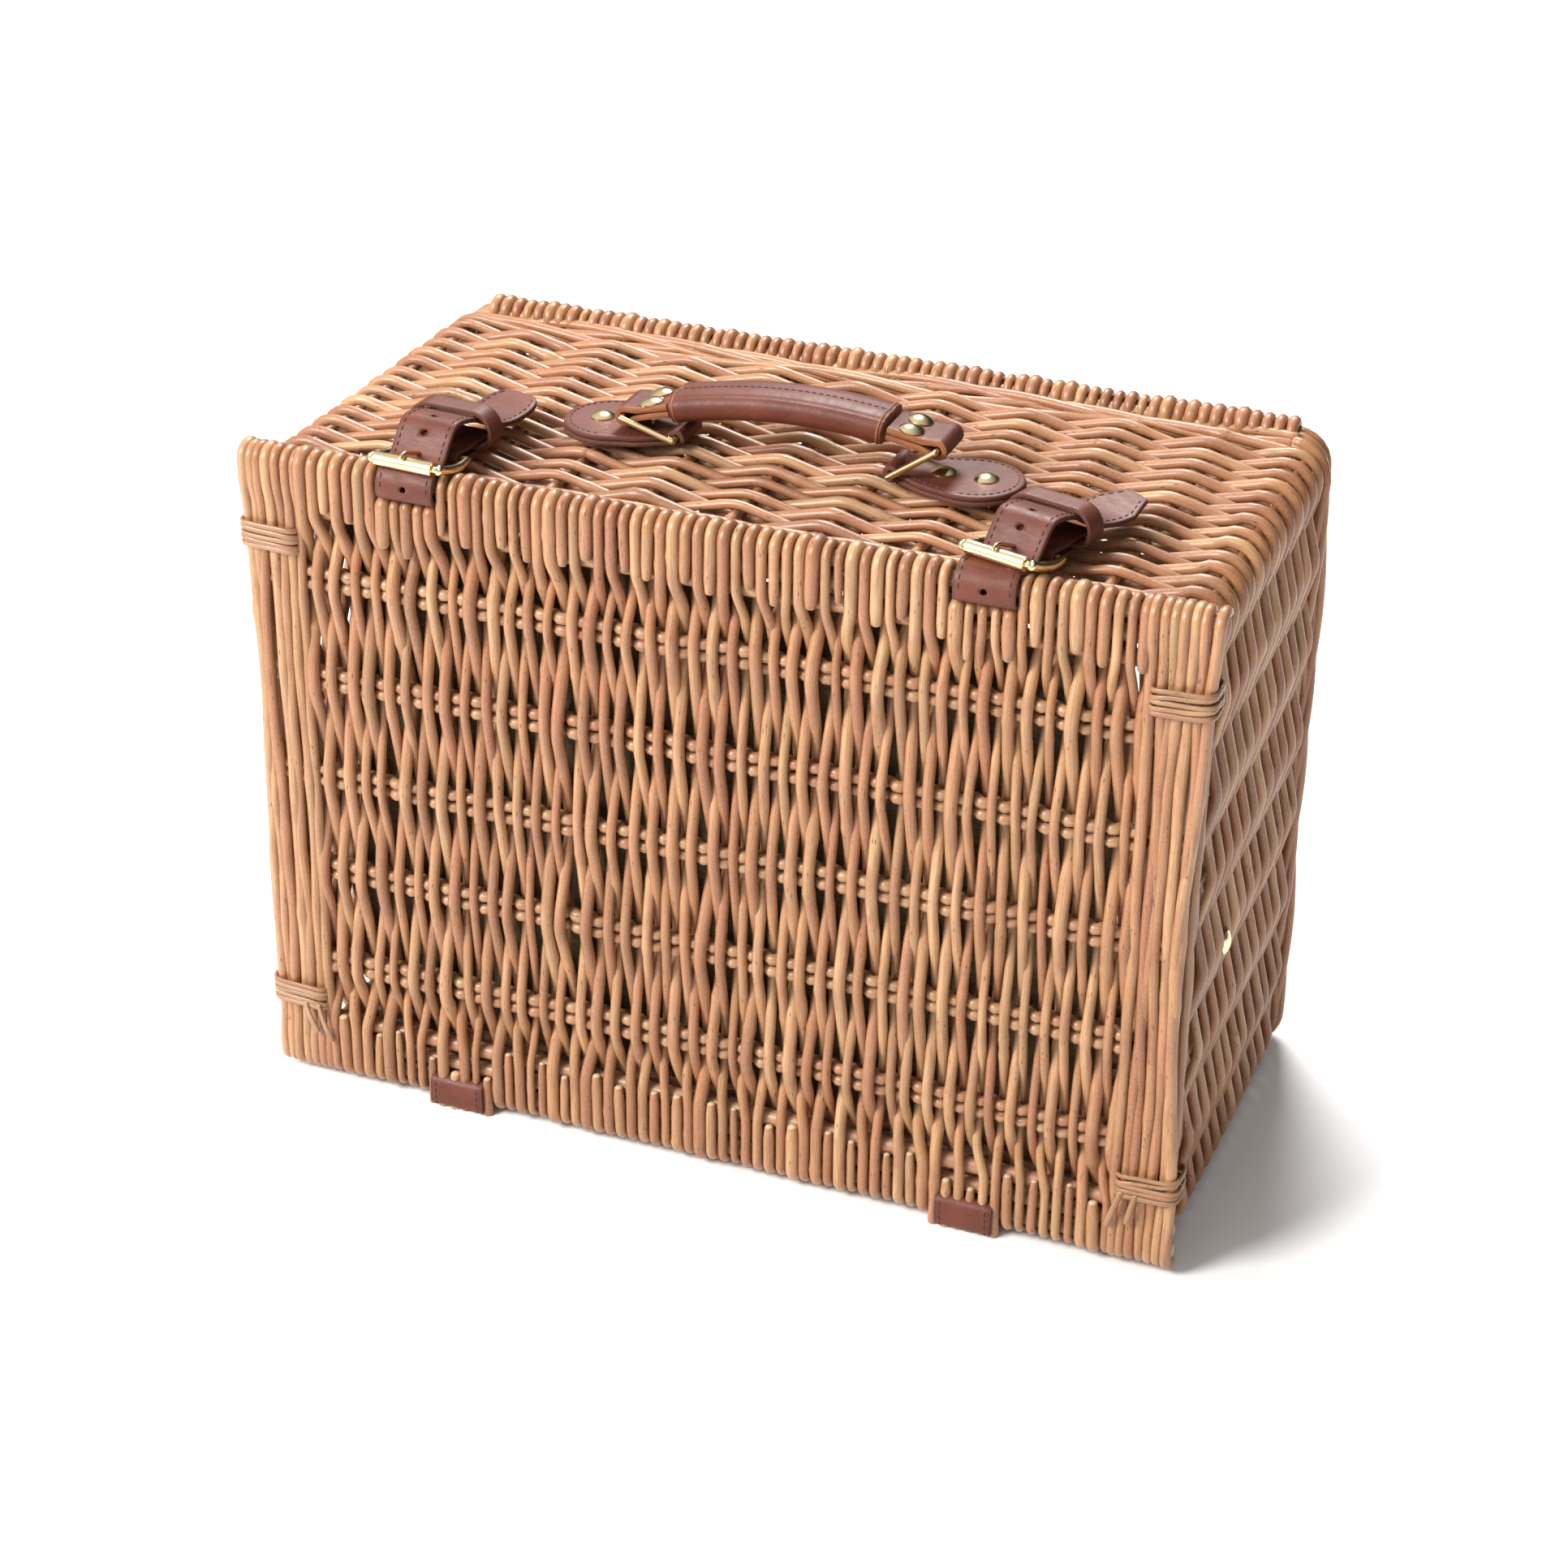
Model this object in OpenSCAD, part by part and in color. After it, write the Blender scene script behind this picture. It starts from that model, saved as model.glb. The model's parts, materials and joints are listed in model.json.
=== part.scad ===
/* [Overall] */
// Overall width, across the two side bundles of the lid
width = 460; // [420:4:552]
// Height of the lid's upper edge above the floor
height = 334; // [300:2:380]
// Overall depth, from the front of the straps to the back of the base panel
depth = 230; // [192:2:280]

/* [Body] */
// Thickness of the woven walls
wall_t = 15; // [14:0.5:18]
// Thickness of the woven base panel
base_t = 14; // [12:1:18]
// Outer radius of the corners of the walls
corner_r = 24; // [18:1:32]
// Depth of the rolled border round the mouth, front to back
border_d = 12; // [8:1:16]
// How far the border sits inside the face of the walls
border_inset = 3; // [3:0.5:4]
// How far the lid stands out past each side wall
lid_overhang = 4; // [2:1:8]
// How far the lid's upper edge stands above the top wall
lid_rise = 4; // [2:1:6]

/* [Lid] */
// Thickness of the woven lid
lid_t = 16; // [15:0.5:18]
// Gap between the closed lid and the border
lid_gap = 2; // [2:0.5:4]
// Diameter of the rods stacked in the upper and lower bands
edge_rod_d = 8; // [6:0.5:8]
// Number of rods stacked in each band
edge_rod_count = 3; // [2:1:4]
// Diameter of the paired stakes
stake_d = 4.6; // [4:0.2:5]
// Gap between the two stakes of a pair
stake_gap = 1.6; // [1:0.2:3]
// Number of stake pairs between the bands
stake_rows = 5; // [3:1:6]
// Height of the lowest and highest stake pair from the lid's edges
stake_margin = 63; // [60:1:72]
// Width of each side bundle
bundle_w = 30; // [26:1:34]
// Diameter of the rods in the side bundles
bundle_rod_d = 3.9; // [3.5:0.1:3.9]
// Number of rods on the front of each side bundle
bundle_front_count = 5; // [4:1:5]
// Number of rods on the back of each side bundle
bundle_back_count = 4; // [3:1:5]
// Thickness of the skein binding round each bundle
binding_t = 1.6; // [1.2:0.1:1.6]
// Height of each skein binding
binding_h = 13; // [10:1:16]
// Distance from the lid's edge to the middle of each binding
binding_offset = 43.5; // [43:0.5:47]
// Thickness of the padded lining behind the lid
lining_t = 5; // [4:0.5:8]
// How far the lining stays inside the lid's edges
lining_inset = 45; // [40:1:70]

/* [Leather straps] */
// Thickness of the strap leather
leather_t = 2.4; // [2:0.1:2.4]
// Width of the closure and hinge straps
strap_w = 28; // [22:0.2:33.6]
// Distance of the left closure strap from the middle
closure_left_x = 143; // [110:1:160]
// Distance of the right closure strap from the middle
closure_right_x = 128; // [110:1:160]
// Turn of the left buckle away from straight back
closure_left_yaw = 4; // [0:1:10]
// Turn of the right buckle away from straight back
closure_right_yaw = 15; // [0:1:18]
// How far the right buckle sits behind the left one
closure_right_setback = 7; // [5:1:9]
// Extra turn of the left strap tip
tail_left_bend = 12; // [0:1:20]
// Extra turn of the right strap tip
tail_right_bend = 20; // [0:1:24]
// Length of strap behind the roller
tail_length = 86; // [80:1:96]
// Rise of the strap where it arches behind the roller
arch_rise = 15; // [13:0.5:15]
// Distance of each hinge strap from the middle
hinge_strap_x = 130; // [90:1:160]
// Diameter of the punched holes
punch_d = 3.6; // [3:0.2:5]

/* [Buckles] */
// Wire diameter of the buckle's bars
bar_d = 3; // [2.6:0.1:3.2]
// Distance between the front and rear bars
buckle_reach = 25; // [24:1:27]
// Outer diameter of the roller
roller_d = 6.4; // [5.6:0.2:6.4]
// Diameter of the prong
prong_d = 2.6; // [2:0.2:2.6]
// Clearance round a turning bar
running_gap = 0.06; // [0.02:0.01:0.1]
// Width of the keeper loop along the strap
keeper_l = 11; // [8:1:12]
// How much wider the keeper loop is than the strap
keeper_room = 16; // [16:1:20]
// Outer height of the keeper loop
keeper_h = 19; // [18:0.5:22]
// Length of the chape behind the rear bar
chape_l = 28; // [27:1:30]

/* [Handle] */
// Offset of the handle to the right of the middle
handle_x = 4; // [-20:1:20]
// Offset of the handle to the front of the middle of the depth
handle_front = 19; // [0:1:30]
// Distance between the two base plate loops
loop_span = 103.6; // [96:0.2:112]
// Distance between the two long bars of a ring
ring_reach = 26.2; // [24:0.2:28]
// Clear width inside a ring
ring_w = 26; // [25:0.5:30]
// Wire diameter of the rings
ring_d = 3; // [2.6:0.1:3.2]
// Rest angle of the left ring above the wall
ring_left_angle = 16; // [16:1:24]
// Rest angle of the right ring above the wall
ring_right_angle = 35; // [30:1:40]
// Play of a ring bar in the handle's end loop
loop_play = 0.8; // [0.6:0.1:0.9]
// Width of the grip, front to back
grip_w = 28; // [24:1:32]
// Thickness of the grip
grip_t = 14; // [12:0.5:16]
// Length between the two bends at the ends of the grip
grip_l = 104; // [98:1:110]
// Rise of the grip's arch
grip_arch = 5; // [3:0.5:8]
// Height of the left bend above the top wall
bend_left_h = 18; // [17:0.5:22]
// Height of the right bend above the top wall
bend_right_h = 24; // [22:0.5:28]
// Shift of the grip to the left of the handle's middle
grip_shift = 3; // [0:0.5:5]
// Width of the end tabs, front to back
tab_w = 24; // [20:1:24]
// Thickness of the end tabs
tab_t = 6.4; // [5.6:0.2:6.8]
// Width of a base plate's loop, front to back
plate_loop_w = 22; // [18:1:24]
// Radius of a base plate's round end
plate_r = 23; // [20:1:26]
// Distance from a base plate's loop to the middle of its round end
plate_reach = 36; // [32:1:42]

/* [Rivets] */
// Diameter of the rivet heads
rivet_head_d = 11.4; // [9:0.2:12]
// Height of the rivet domes
rivet_dome_h = 2; // [1.4:0.2:2]
// Diameter of the rivet shanks
rivet_shank_d = 4; // [3:0.2:4.4]
// Diameter of the washers inside the walls
washer_d = 14; // [12:1:18]
// Thickness of the washers
washer_t = 1.2; // [1:0.1:1.6]
// Height of the side rivets above the floor
side_rivet_z = 140; // [60:1:240]
// Distance of the side rivets behind the front of the lid
side_rivet_back = 69; // [50:1:120]

/* [Hidden] */
$fn = 48;

// Small allowances
eps = 0.5;
touch_gap = 0.1;
bore_gap = 0.1;
clear_gap = 0.4;

// Front to back, with the roller standing proud of the lid
roller_y = 0.6;
bar_span = strap_w + 6;
front_y = -depth / 2;
front_proud = max(leather_t + touch_gap,
    roller_d / 2 - roller_y + bar_span / 2 * sin(closure_left_yaw));
lid_front_y = front_y + front_proud;
lid_mid_y = lid_front_y + lid_t / 2;
lid_back_y = lid_front_y + lid_t;
border_front_y = lid_back_y + lid_gap;
border_back_y = border_front_y + border_d;
back_y = depth / 2;
base_front_y = back_y - base_t;
walls_l = base_front_y - border_back_y;

// Body outline
body_w = width - 2 * lid_overhang;
body_top = height - lid_rise;
border_t = wall_t - border_inset;
inner_r = corner_r - wall_t;

// Lid
lid_bottom = border_inset;
lid_round_r = lid_t / 2;
edge_rod_l = width - 2 * binding_t - 3;
top_rod_z = height - lid_round_r;
bottom_rod_z = lid_bottom + lid_round_r;
edge_pitch = max(edge_rod_d + leather_t + 3 * touch_gap,
    2 * (wall_t + touch_gap + leather_t / 2 - bottom_rod_z));
weave_half_w = width / 2 - bundle_w - 2 * touch_gap;
row_low_z = lid_bottom + stake_margin;
row_high_z = height - stake_margin;
row_pitch = (row_high_z - row_low_z) / (stake_rows - 1);

// Straps
slot_w = strap_w + 2 * clear_gap;
slot_t = leather_t + 3 * touch_gap;
hinge_strap_low = clear_gap;
hinge_strap_high = bottom_rod_z + edge_pitch / 2 + leather_t / 2;
strap_slot_z = top_rod_z - edge_pitch / 2;
wrap_r = lid_round_r + touch_gap;

// Buckles, in the frame of a closure: x across, y back, z up from the top wall
roller_left_z = 8.4;
roller_right_z = 10.2;
chape_loop_r = bar_d / 2 + running_gap + leather_t - 0.2;
rear_bar_z = chape_loop_r + clear_gap;
arm_d = bar_d + 0.4;
arm_eye_d = arm_d + 1;
arm_eye_w = arm_d + 0.6;
chape_layer_t = leather_t - 0.2;
chape_upper_z = rear_bar_z + chape_loop_r - chape_layer_t - 0.7;
prong_slot_w = 5.6;
prong_ring_w = 4.6;
prong_overhang = 2.2;
keeper_y = roller_y + buckle_reach + 13;
keeper_w = strap_w + keeper_room;
keeper_r = 8;
arch_start_y = lid_round_r;
arch_peak_y = roller_y + buckle_reach - 1;
arch_end_y = roller_y + buckle_reach + 55;
arch_low_z = lid_rise + leather_t / 2 + touch_gap;
tail_z = 3.4;
tail_bend_y = keeper_y + keeper_l;
profile_steps = 12;

// Handle, measured from the handle's middle
handle_y = -handle_front;
loop_bore_r = ring_d / 2 + 0.08;
plate_loop_r = loop_bore_r + 2.8;
loop_z = body_top + plate_loop_r + clear_gap;
tab_bore_r = ring_d / 2 + loop_play;
tab_loop_r = tab_bore_r + 2.2;
ring_left_x = -loop_span / 2 - ring_reach * cos(ring_left_angle);
ring_left_z = loop_z + ring_reach * sin(ring_left_angle);
ring_right_x = loop_span / 2 + ring_reach * cos(ring_right_angle);
ring_right_z = loop_z + ring_reach * sin(ring_right_angle);
bend_left_x = -grip_l / 2 - grip_shift;
bend_left_z = body_top + bend_left_h;
bend_right_x = grip_l / 2 - grip_shift;
bend_right_z = body_top + bend_right_h;
grip_tilt = atan2(bend_right_z - bend_left_z, bend_right_x - bend_left_x);
bend_inset = 1.5;
grip_chord = norm([bend_right_x - bend_left_x, bend_right_z - bend_left_z]) - 2 * bend_inset;
grip_r = (pow(grip_chord / 2, 2) + pow(grip_arch, 2)) / (2 * grip_arch);
grip_half_angle = asin(grip_chord / 2 / grip_r);
plate_t = 2 * leather_t;
plate_rivet_near = 21;
plate_rivet_far = 41;
tab_rivet_back = 10;
tab_rivet_spread = 6;
rivet_head_t = 0.6;
peen_d = rivet_shank_d + 2;
peen_t = 0.8;

WILLOW = [0.78, 0.57, 0.40];
WILLOW_DARK = [0.66, 0.45, 0.31];
SKEIN = [0.72, 0.58, 0.40];
LEATHER = [0.42, 0.20, 0.13];
BRASS = [0.88, 0.74, 0.40];
KHAKI = [0.46, 0.40, 0.27];

// Rectangle with round corners, centred
module rounded_rect(w, h, r) {
    square([w - 2 * r, h], center = true);
    square([w, h - 2 * r], center = true);
    for (x = [-1, 1], y = [-1, 1])
        translate([x * (w / 2 - r), y * (h / 2 - r)])
            circle(r = r);
}

// Upright panel from y0 to y1, of the outline given, standing on z0
module upright(y0, y1, z0, w, h, r) {
    translate([0, y1, z0 + h / 2])
        rotate([90, 0, 0])
            linear_extrude(height = y1 - y0)
                rounded_rect(w, h, r);
}

// Rod along X through the point
module rod_x(d, l, x, y, z) {
    translate([x, y, z])
        rotate([0, 90, 0])
            cylinder(d = d, h = l, center = true);
}

// Rod along Y through the point
module rod_y(d, l, x, y, z) {
    translate([x, y, z])
        rotate([90, 0, 0])
            cylinder(d = d, h = l, center = true);
}

// Domed rivet along +Z: the underside of its head is at z = 0
module rivet(grip_depth) {
    dome_r = (pow(rivet_head_d / 2, 2) + pow(rivet_dome_h, 2)) / (2 * rivet_dome_h);
    cylinder(d = rivet_head_d, h = rivet_head_t);
    intersection() {
        translate([0, 0, rivet_head_t + rivet_dome_h - dome_r])
            sphere(r = dome_r);
        translate([0, 0, rivet_head_t])
            cylinder(d = rivet_head_d, h = rivet_dome_h + eps);
    }
    translate([0, 0, -grip_depth])
        cylinder(d = rivet_shank_d, h = grip_depth + rivet_head_t);
    translate([0, 0, -grip_depth - peen_t])
        cylinder(d = peen_d, h = peen_t);
}

// ---- Body ----

module plate_rivet_places() {
    for (side = [-1, 1], reach = [plate_rivet_near, plate_rivet_far])
        translate([handle_x + side * (loop_span / 2 + reach), handle_y, body_top])
            children();
}

module side_rivet_places() {
    for (side = [-1, 1])
        translate([side * body_w / 2, lid_front_y + side_rivet_back, side_rivet_z])
            rotate([0, side * 90, 0])
                children();
}

module hinge_strap_places() {
    for (side = [-1, 1])
        translate([side * hinge_strap_x, 0, 0])
            children();
}

module body_walls() {
    color(WILLOW)
        difference() {
            upright(border_back_y, base_front_y, 0, body_w, body_top, corner_r);
            upright(border_back_y - eps, base_front_y + eps, wall_t,
                body_w - 2 * wall_t, body_top - 2 * wall_t, inner_r);
            hinge_strap_places()
                translate([-slot_w / 2, border_back_y - eps, -eps])
                    cube([slot_w, leather_t + 3 * touch_gap + eps, wall_t + 2 * eps]);
            plate_rivet_places()
                translate([0, 0, -wall_t - eps])
                    cylinder(d = rivet_shank_d + bore_gap, h = wall_t + 2 * eps);
            side_rivet_places()
                translate([0, 0, -wall_t - eps])
                    cylinder(d = rivet_shank_d + bore_gap, h = wall_t + 2 * eps);
        }
}

module body_base() {
    color(WILLOW)
        upright(base_front_y, back_y, 0, body_w, body_top, corner_r);
}

module body_rim_border() {
    rim_w = body_w - 2 * border_inset;
    rim_h = body_top - 2 * border_inset;
    color(WILLOW_DARK)
        difference() {
            upright(border_front_y, border_back_y, border_inset,
                rim_w, rim_h, corner_r - border_inset);
            upright(border_front_y - eps, border_back_y + eps, wall_t,
                rim_w - 2 * border_t, rim_h - 2 * border_t, inner_r);
        }
}

// ---- Lid ----

module stake_places() {
    for (row = [0 : stake_rows - 1], side = [-1, 1])
        translate([0, lid_mid_y, row_low_z + row * row_pitch + side * (stake_d + stake_gap) / 2])
            children();
}

module band_rod_places(first_z, step) {
    for (i = [0 : edge_rod_count - 1])
        translate([0, lid_mid_y, first_z + i * step])
            children();
}

module closure_slots() {
    for (x = [-closure_left_x, closure_right_x])
        translate([x - slot_w / 2, lid_front_y - eps, strap_slot_z - slot_t / 2])
            cube([slot_w, lid_t + 2 * eps, slot_t]);
}

module hinge_slots() {
    hinge_strap_places()
        translate([-slot_w / 2, lid_front_y - eps, bottom_rod_z + (edge_pitch - slot_t) / 2])
            cube([slot_w, lid_t + 2 * eps, slot_t]);
}

module lid_weave() {
    slab_h = height - lid_bottom - 2 * lid_round_r;
    color(WILLOW)
        difference() {
            union() {
                translate([-weave_half_w, lid_front_y, bottom_rod_z])
                    cube([2 * weave_half_w, lid_t, slab_h]);
                rod_x(lid_t, 2 * weave_half_w, 0, lid_mid_y, bottom_rod_z);
                rod_x(lid_t, 2 * weave_half_w, 0, lid_mid_y, top_rod_z);
            }
            stake_places()
                rod_x(stake_d + bore_gap, width, 0, 0, 0);
            band_rod_places(top_rod_z, -edge_pitch)
                rod_x(edge_rod_d + bore_gap, width, 0, 0, 0);
            band_rod_places(bottom_rod_z, edge_pitch)
                rod_x(edge_rod_d + bore_gap, width, 0, 0, 0);
            closure_slots();
            hinge_slots();
        }
}

module lid_stakes() {
    color(WILLOW_DARK)
        stake_places()
            rod_x(stake_d, edge_rod_l, 0, 0, 0);
}

module lid_top_rods() {
    color(WILLOW_DARK)
        band_rod_places(top_rod_z, -edge_pitch)
            rod_x(edge_rod_d, edge_rod_l, 0, 0, 0);
}

module lid_bottom_rods() {
    color(WILLOW_DARK)
        band_rod_places(bottom_rod_z, edge_pitch)
            rod_x(edge_rod_d, edge_rod_l, 0, 0, 0);
}

// Upright rods spread over the bundle's width, on one face of the lid
module bundle_row(count, y) {
    first = width / 2 - bundle_w + binding_t + touch_gap + bundle_rod_d / 2;
    last = width / 2 - binding_t - touch_gap - bundle_rod_d / 2;
    for (i = [0 : count - 1])
        translate([first + i * (last - first) / (count - 1), y, lid_bottom + 1])
            cylinder(d = bundle_rod_d, h = height - lid_bottom - 2);
}

module side_rods(side) {
    color(WILLOW)
        mirror([side < 0 ? 1 : 0, 0, 0]) {
            bundle_row(bundle_front_count, lid_front_y + bundle_rod_d / 2);
            bundle_row(bundle_back_count, lid_back_y - bundle_rod_d / 2);
        }
}

module lid_side_rods_left() {
    side_rods(-1);
}

module lid_side_rods_right() {
    side_rods(1);
}

module binding(side, mid_z) {
    color(SKEIN)
        translate([side * (width - bundle_w) / 2, lid_mid_y, mid_z - binding_h / 2])
            linear_extrude(height = binding_h)
                difference() {
                    rounded_rect(bundle_w, lid_t + 2 * binding_t, 3);
                    square([bundle_w - 2 * binding_t, lid_t], center = true);
                }
}

module lid_binding_top_left() {
    binding(-1, height - binding_offset);
}

module lid_binding_top_right() {
    binding(1, height - binding_offset);
}

module lid_binding_bottom_left() {
    binding(-1, lid_bottom + binding_offset);
}

module lid_binding_bottom_right() {
    binding(1, lid_bottom + binding_offset);
}

module lid_lining() {
    lining_h = height - lid_bottom - 2 * lining_inset + 18;
    color(KHAKI)
        upright(lid_back_y + touch_gap, lid_back_y + lining_t,
            (height + lid_bottom - lining_h) / 2, width - 2 * lining_inset, lining_h, 12);
}

// ---- Hinge straps ----

module hinge_strap(side) {
    strap_front = lid_front_y - leather_t;
    strap_back = border_back_y + leather_t;
    color(LEATHER)
        translate([side * hinge_strap_x - strap_w / 2, 0, 0])
            difference() {
                translate([0, strap_front, hinge_strap_low])
                    cube([strap_w, strap_back - strap_front, hinge_strap_high - hinge_strap_low]);
                translate([-eps, lid_front_y - touch_gap, hinge_strap_low + leather_t])
                    cube([
                        strap_w + 2 * eps,
                        border_back_y - lid_front_y + 2 * touch_gap,
                        hinge_strap_high - hinge_strap_low - 2 * leather_t
                    ]);
            }
}

module hinge_strap_left() {
    hinge_strap(-1);
}

module hinge_strap_right() {
    hinge_strap(1);
}

// ---- Closures ----

// Places children in the frame of the left or right closure
module closure(side) {
    x = side < 0 ? -closure_left_x : closure_right_x;
    yaw = side < 0 ? closure_left_yaw : closure_right_yaw;
    translate([x, lid_front_y, body_top])
        rotate([0, 0, -yaw])
            children();
}

function setback(side) = side < 0 ? 0 : closure_right_setback;
function roller_z(side) = side < 0 ? roller_left_z : roller_right_z;
function swell(t) = (1 - cos(180 * t)) / 2;

// Height of the strap's middle over the distance behind the roller
function strap_mid(y) =
    y < arch_peak_y
        ? arch_low_z + arch_rise * swell((y - arch_start_y) / (arch_peak_y - arch_start_y))
        : arch_low_z + arch_rise
            - (arch_low_z + arch_rise - tail_z) * swell(min(1, (y - arch_peak_y) / (arch_end_y - arch_peak_y)));

// Side view of the strap between two distances, as a band of even thickness
module strap_band(y0, y1) {
    steps = [for (i = [0 : profile_steps]) y0 + (y1 - y0) * i / profile_steps];
    upper = [for (y = steps) [y, strap_mid(y) + leather_t / 2]];
    lower = [for (i = [profile_steps : -1 : 0]) [steps[i], strap_mid(steps[i]) - leather_t / 2]];
    rotate([90, 0, 90])
        linear_extrude(height = strap_w, center = true)
            polygon(concat(upper, lower));
}

// The strap's loop round the lid's upper rod, in the lid's own direction
module strap_loop() {
    turn_z = top_rod_z - body_top;
    slot_z = strap_slot_z - body_top;
    translate([-strap_w / 2, -touch_gap - leather_t, slot_z - leather_t / 2])
        cube([strap_w, leather_t, turn_z - slot_z + leather_t / 2]);
    translate([-strap_w / 2, -touch_gap - leather_t, slot_z - leather_t / 2])
        cube([strap_w, lid_t * 0.7, leather_t]);
    intersection() {
        difference() {
            rod_x(2 * (wrap_r + leather_t), strap_w, 0, lid_round_r, turn_z);
            rod_x(2 * wrap_r, strap_w + 2 * eps, 0, lid_round_r, turn_z);
        }
        translate([-strap_w / 2 - eps, -lid_t, turn_z])
            cube([strap_w + 2 * eps, lid_t + lid_round_r, lid_t]);
    }
}

// Along the prong, from the rear bar to just beyond the roller it lies on
module prong_line(side, d, extra) {
    rise = roller_z(side) - rear_bar_z;
    reach = norm([buckle_reach, rise]);
    slope = atan2(rise, buckle_reach) + asin(((roller_d + prong_d) / 2 + clear_gap) / reach);
    translate([0, roller_y + buckle_reach, rear_bar_z])
        rotate([90 - slope, 0, 0])
            cylinder(d = d, h = reach + prong_overhang + extra);
}

module closure_strap(side) {
    bend = side < 0 ? tail_left_bend : tail_right_bend;
    x = side < 0 ? -closure_left_x : closure_right_x;
    color(LEATHER) {
        difference() {
            translate([x, lid_front_y, body_top])
                strap_loop();
            closure(side)
                translate([0, 0, strap_slot_z - body_top + 8])
                    rod_y(punch_d, lid_t / 2, 0, 0, 0);
        }
        closure(side)
            translate([0, setback(side), 0])
                difference() {
                    union() {
                        strap_band(arch_start_y, tail_bend_y);
                        translate([0, tail_bend_y, 0])
                            rotate([0, 0, -bend])
                                translate([0, -tail_bend_y, 0])
                                    strap_band(tail_bend_y, tail_length);
                        translate([-strap_w / 2, arch_start_y - setback(side) - 1, lid_rise + touch_gap])
                            cube([strap_w, setback(side) + 2, leather_t]);
                    }
                    prong_line(side, prong_d + 3, eps);
                    translate([0, arch_peak_y + 3, arch_low_z])
                        cylinder(d = punch_d, h = arch_rise + 2 * leather_t);
                }
    }
}

module closure_strap_left() {
    closure_strap(-1);
}

module closure_strap_right() {
    closure_strap(1);
}

// Wire frame: two bars across, two arms back, in the plane from rear to front bar
module buckle_frame(side) {
    tilt = atan2(roller_z(side) - rear_bar_z, buckle_reach);
    arm_l = norm([roller_z(side) - rear_bar_z, buckle_reach]);
    color(BRASS)
        closure(side)
            translate([0, setback(side) + roller_y + buckle_reach, rear_bar_z])
                rotate([-tilt, 0, 0]) {
                    for (y = [0, -arm_l])
                        rod_x(bar_d, bar_span, 0, y, 0);
                    for (x = [-1, 1]) {
                        rod_y(arm_d, arm_l, x * bar_span / 2, -arm_l / 2, 0);
                        for (y = [0, -arm_l])
                            rod_x(arm_eye_d, arm_eye_w, x * bar_span / 2, y, 0);
                    }
                }
}

module buckle_frame_left() {
    buckle_frame(-1);
}

module buckle_frame_right() {
    buckle_frame(1);
}

module buckle_roller(side) {
    roller_l = bar_span - arm_eye_w - 2 * clear_gap;
    color(BRASS)
        closure(side)
            translate([0, setback(side) + roller_y, roller_z(side)])
                difference() {
                    rod_x(roller_d, roller_l, 0, 0, 0);
                    rod_x(bar_d + 2 * running_gap, roller_l + 2 * eps, 0, 0, 0);
                }
}

module buckle_roller_left() {
    buckle_roller(-1);
}

module buckle_roller_right() {
    buckle_roller(1);
}

module buckle_prong(side) {
    color(BRASS)
        closure(side)
            translate([0, setback(side), 0])
                difference() {
                    union() {
                        prong_line(side, prong_d, 0);
                        rod_x(bar_d + 3.4, prong_ring_w, 0, roller_y + buckle_reach, rear_bar_z);
                    }
                    rod_x(bar_d + 2 * running_gap, bar_span, 0, roller_y + buckle_reach, rear_bar_z);
                }
}

module buckle_prong_left() {
    buckle_prong(-1);
}

module buckle_prong_right() {
    buckle_prong(1);
}

// Leather folded round the rear bar, its two layers running back over the wall
module buckle_chape(side) {
    low = rear_bar_z - chape_loop_r;
    high = rear_bar_z + chape_loop_r - chape_layer_t;
    color(LEATHER)
        closure(side)
            translate([0, setback(side) + roller_y + buckle_reach, 0])
                difference() {
                    union() {
                        rod_x(2 * chape_loop_r, strap_w, 0, 0, rear_bar_z);
                        translate([-strap_w / 2, 0, low])
                            cube([strap_w, chape_l, chape_layer_t]);
                        rotate([90, 0, 90])
                            linear_extrude(height = strap_w, center = true)
                                polygon([
                                    [0, high], [6, chape_upper_z], [chape_l, chape_upper_z],
                                    [chape_l, chape_upper_z + chape_layer_t],
                                    [6, chape_upper_z + chape_layer_t], [0, high + chape_layer_t]
                                ]);
                        translate([-strap_w / 2, chape_l - 3, low])
                            cube([strap_w, 3, chape_upper_z - low + eps]);
                    }
                    rod_x(bar_d + 2 * running_gap, strap_w + 2 * eps, 0, 0, rear_bar_z);
                    translate([-prong_slot_w / 2, -chape_loop_r - eps, low - eps])
                        cube([prong_slot_w, 2 * chape_loop_r + eps, 2 * chape_loop_r + 2 * eps]);
                }
}

module buckle_chape_left() {
    buckle_chape(-1);
}

module buckle_chape_right() {
    buckle_chape(1);
}

module strap_keeper(side) {
    low = rear_bar_z - chape_loop_r + chape_layer_t + touch_gap;
    thick = chape_upper_z - low - touch_gap;
    color(LEATHER)
        closure(side)
            translate([0, setback(side) + keeper_y + keeper_l, low + keeper_h / 2])
                rotate([90, 0, 0])
                    linear_extrude(height = keeper_l)
                        difference() {
                            rounded_rect(keeper_w, keeper_h, keeper_r);
                            rounded_rect(keeper_w - 2 * thick, keeper_h - 2 * thick, keeper_r - thick);
                        }
}

module strap_keeper_left() {
    strap_keeper(-1);
}

module strap_keeper_right() {
    strap_keeper(1);
}

// ---- Handle ----

module at_handle() {
    translate([handle_x, handle_y, 0])
        children();
}

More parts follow.
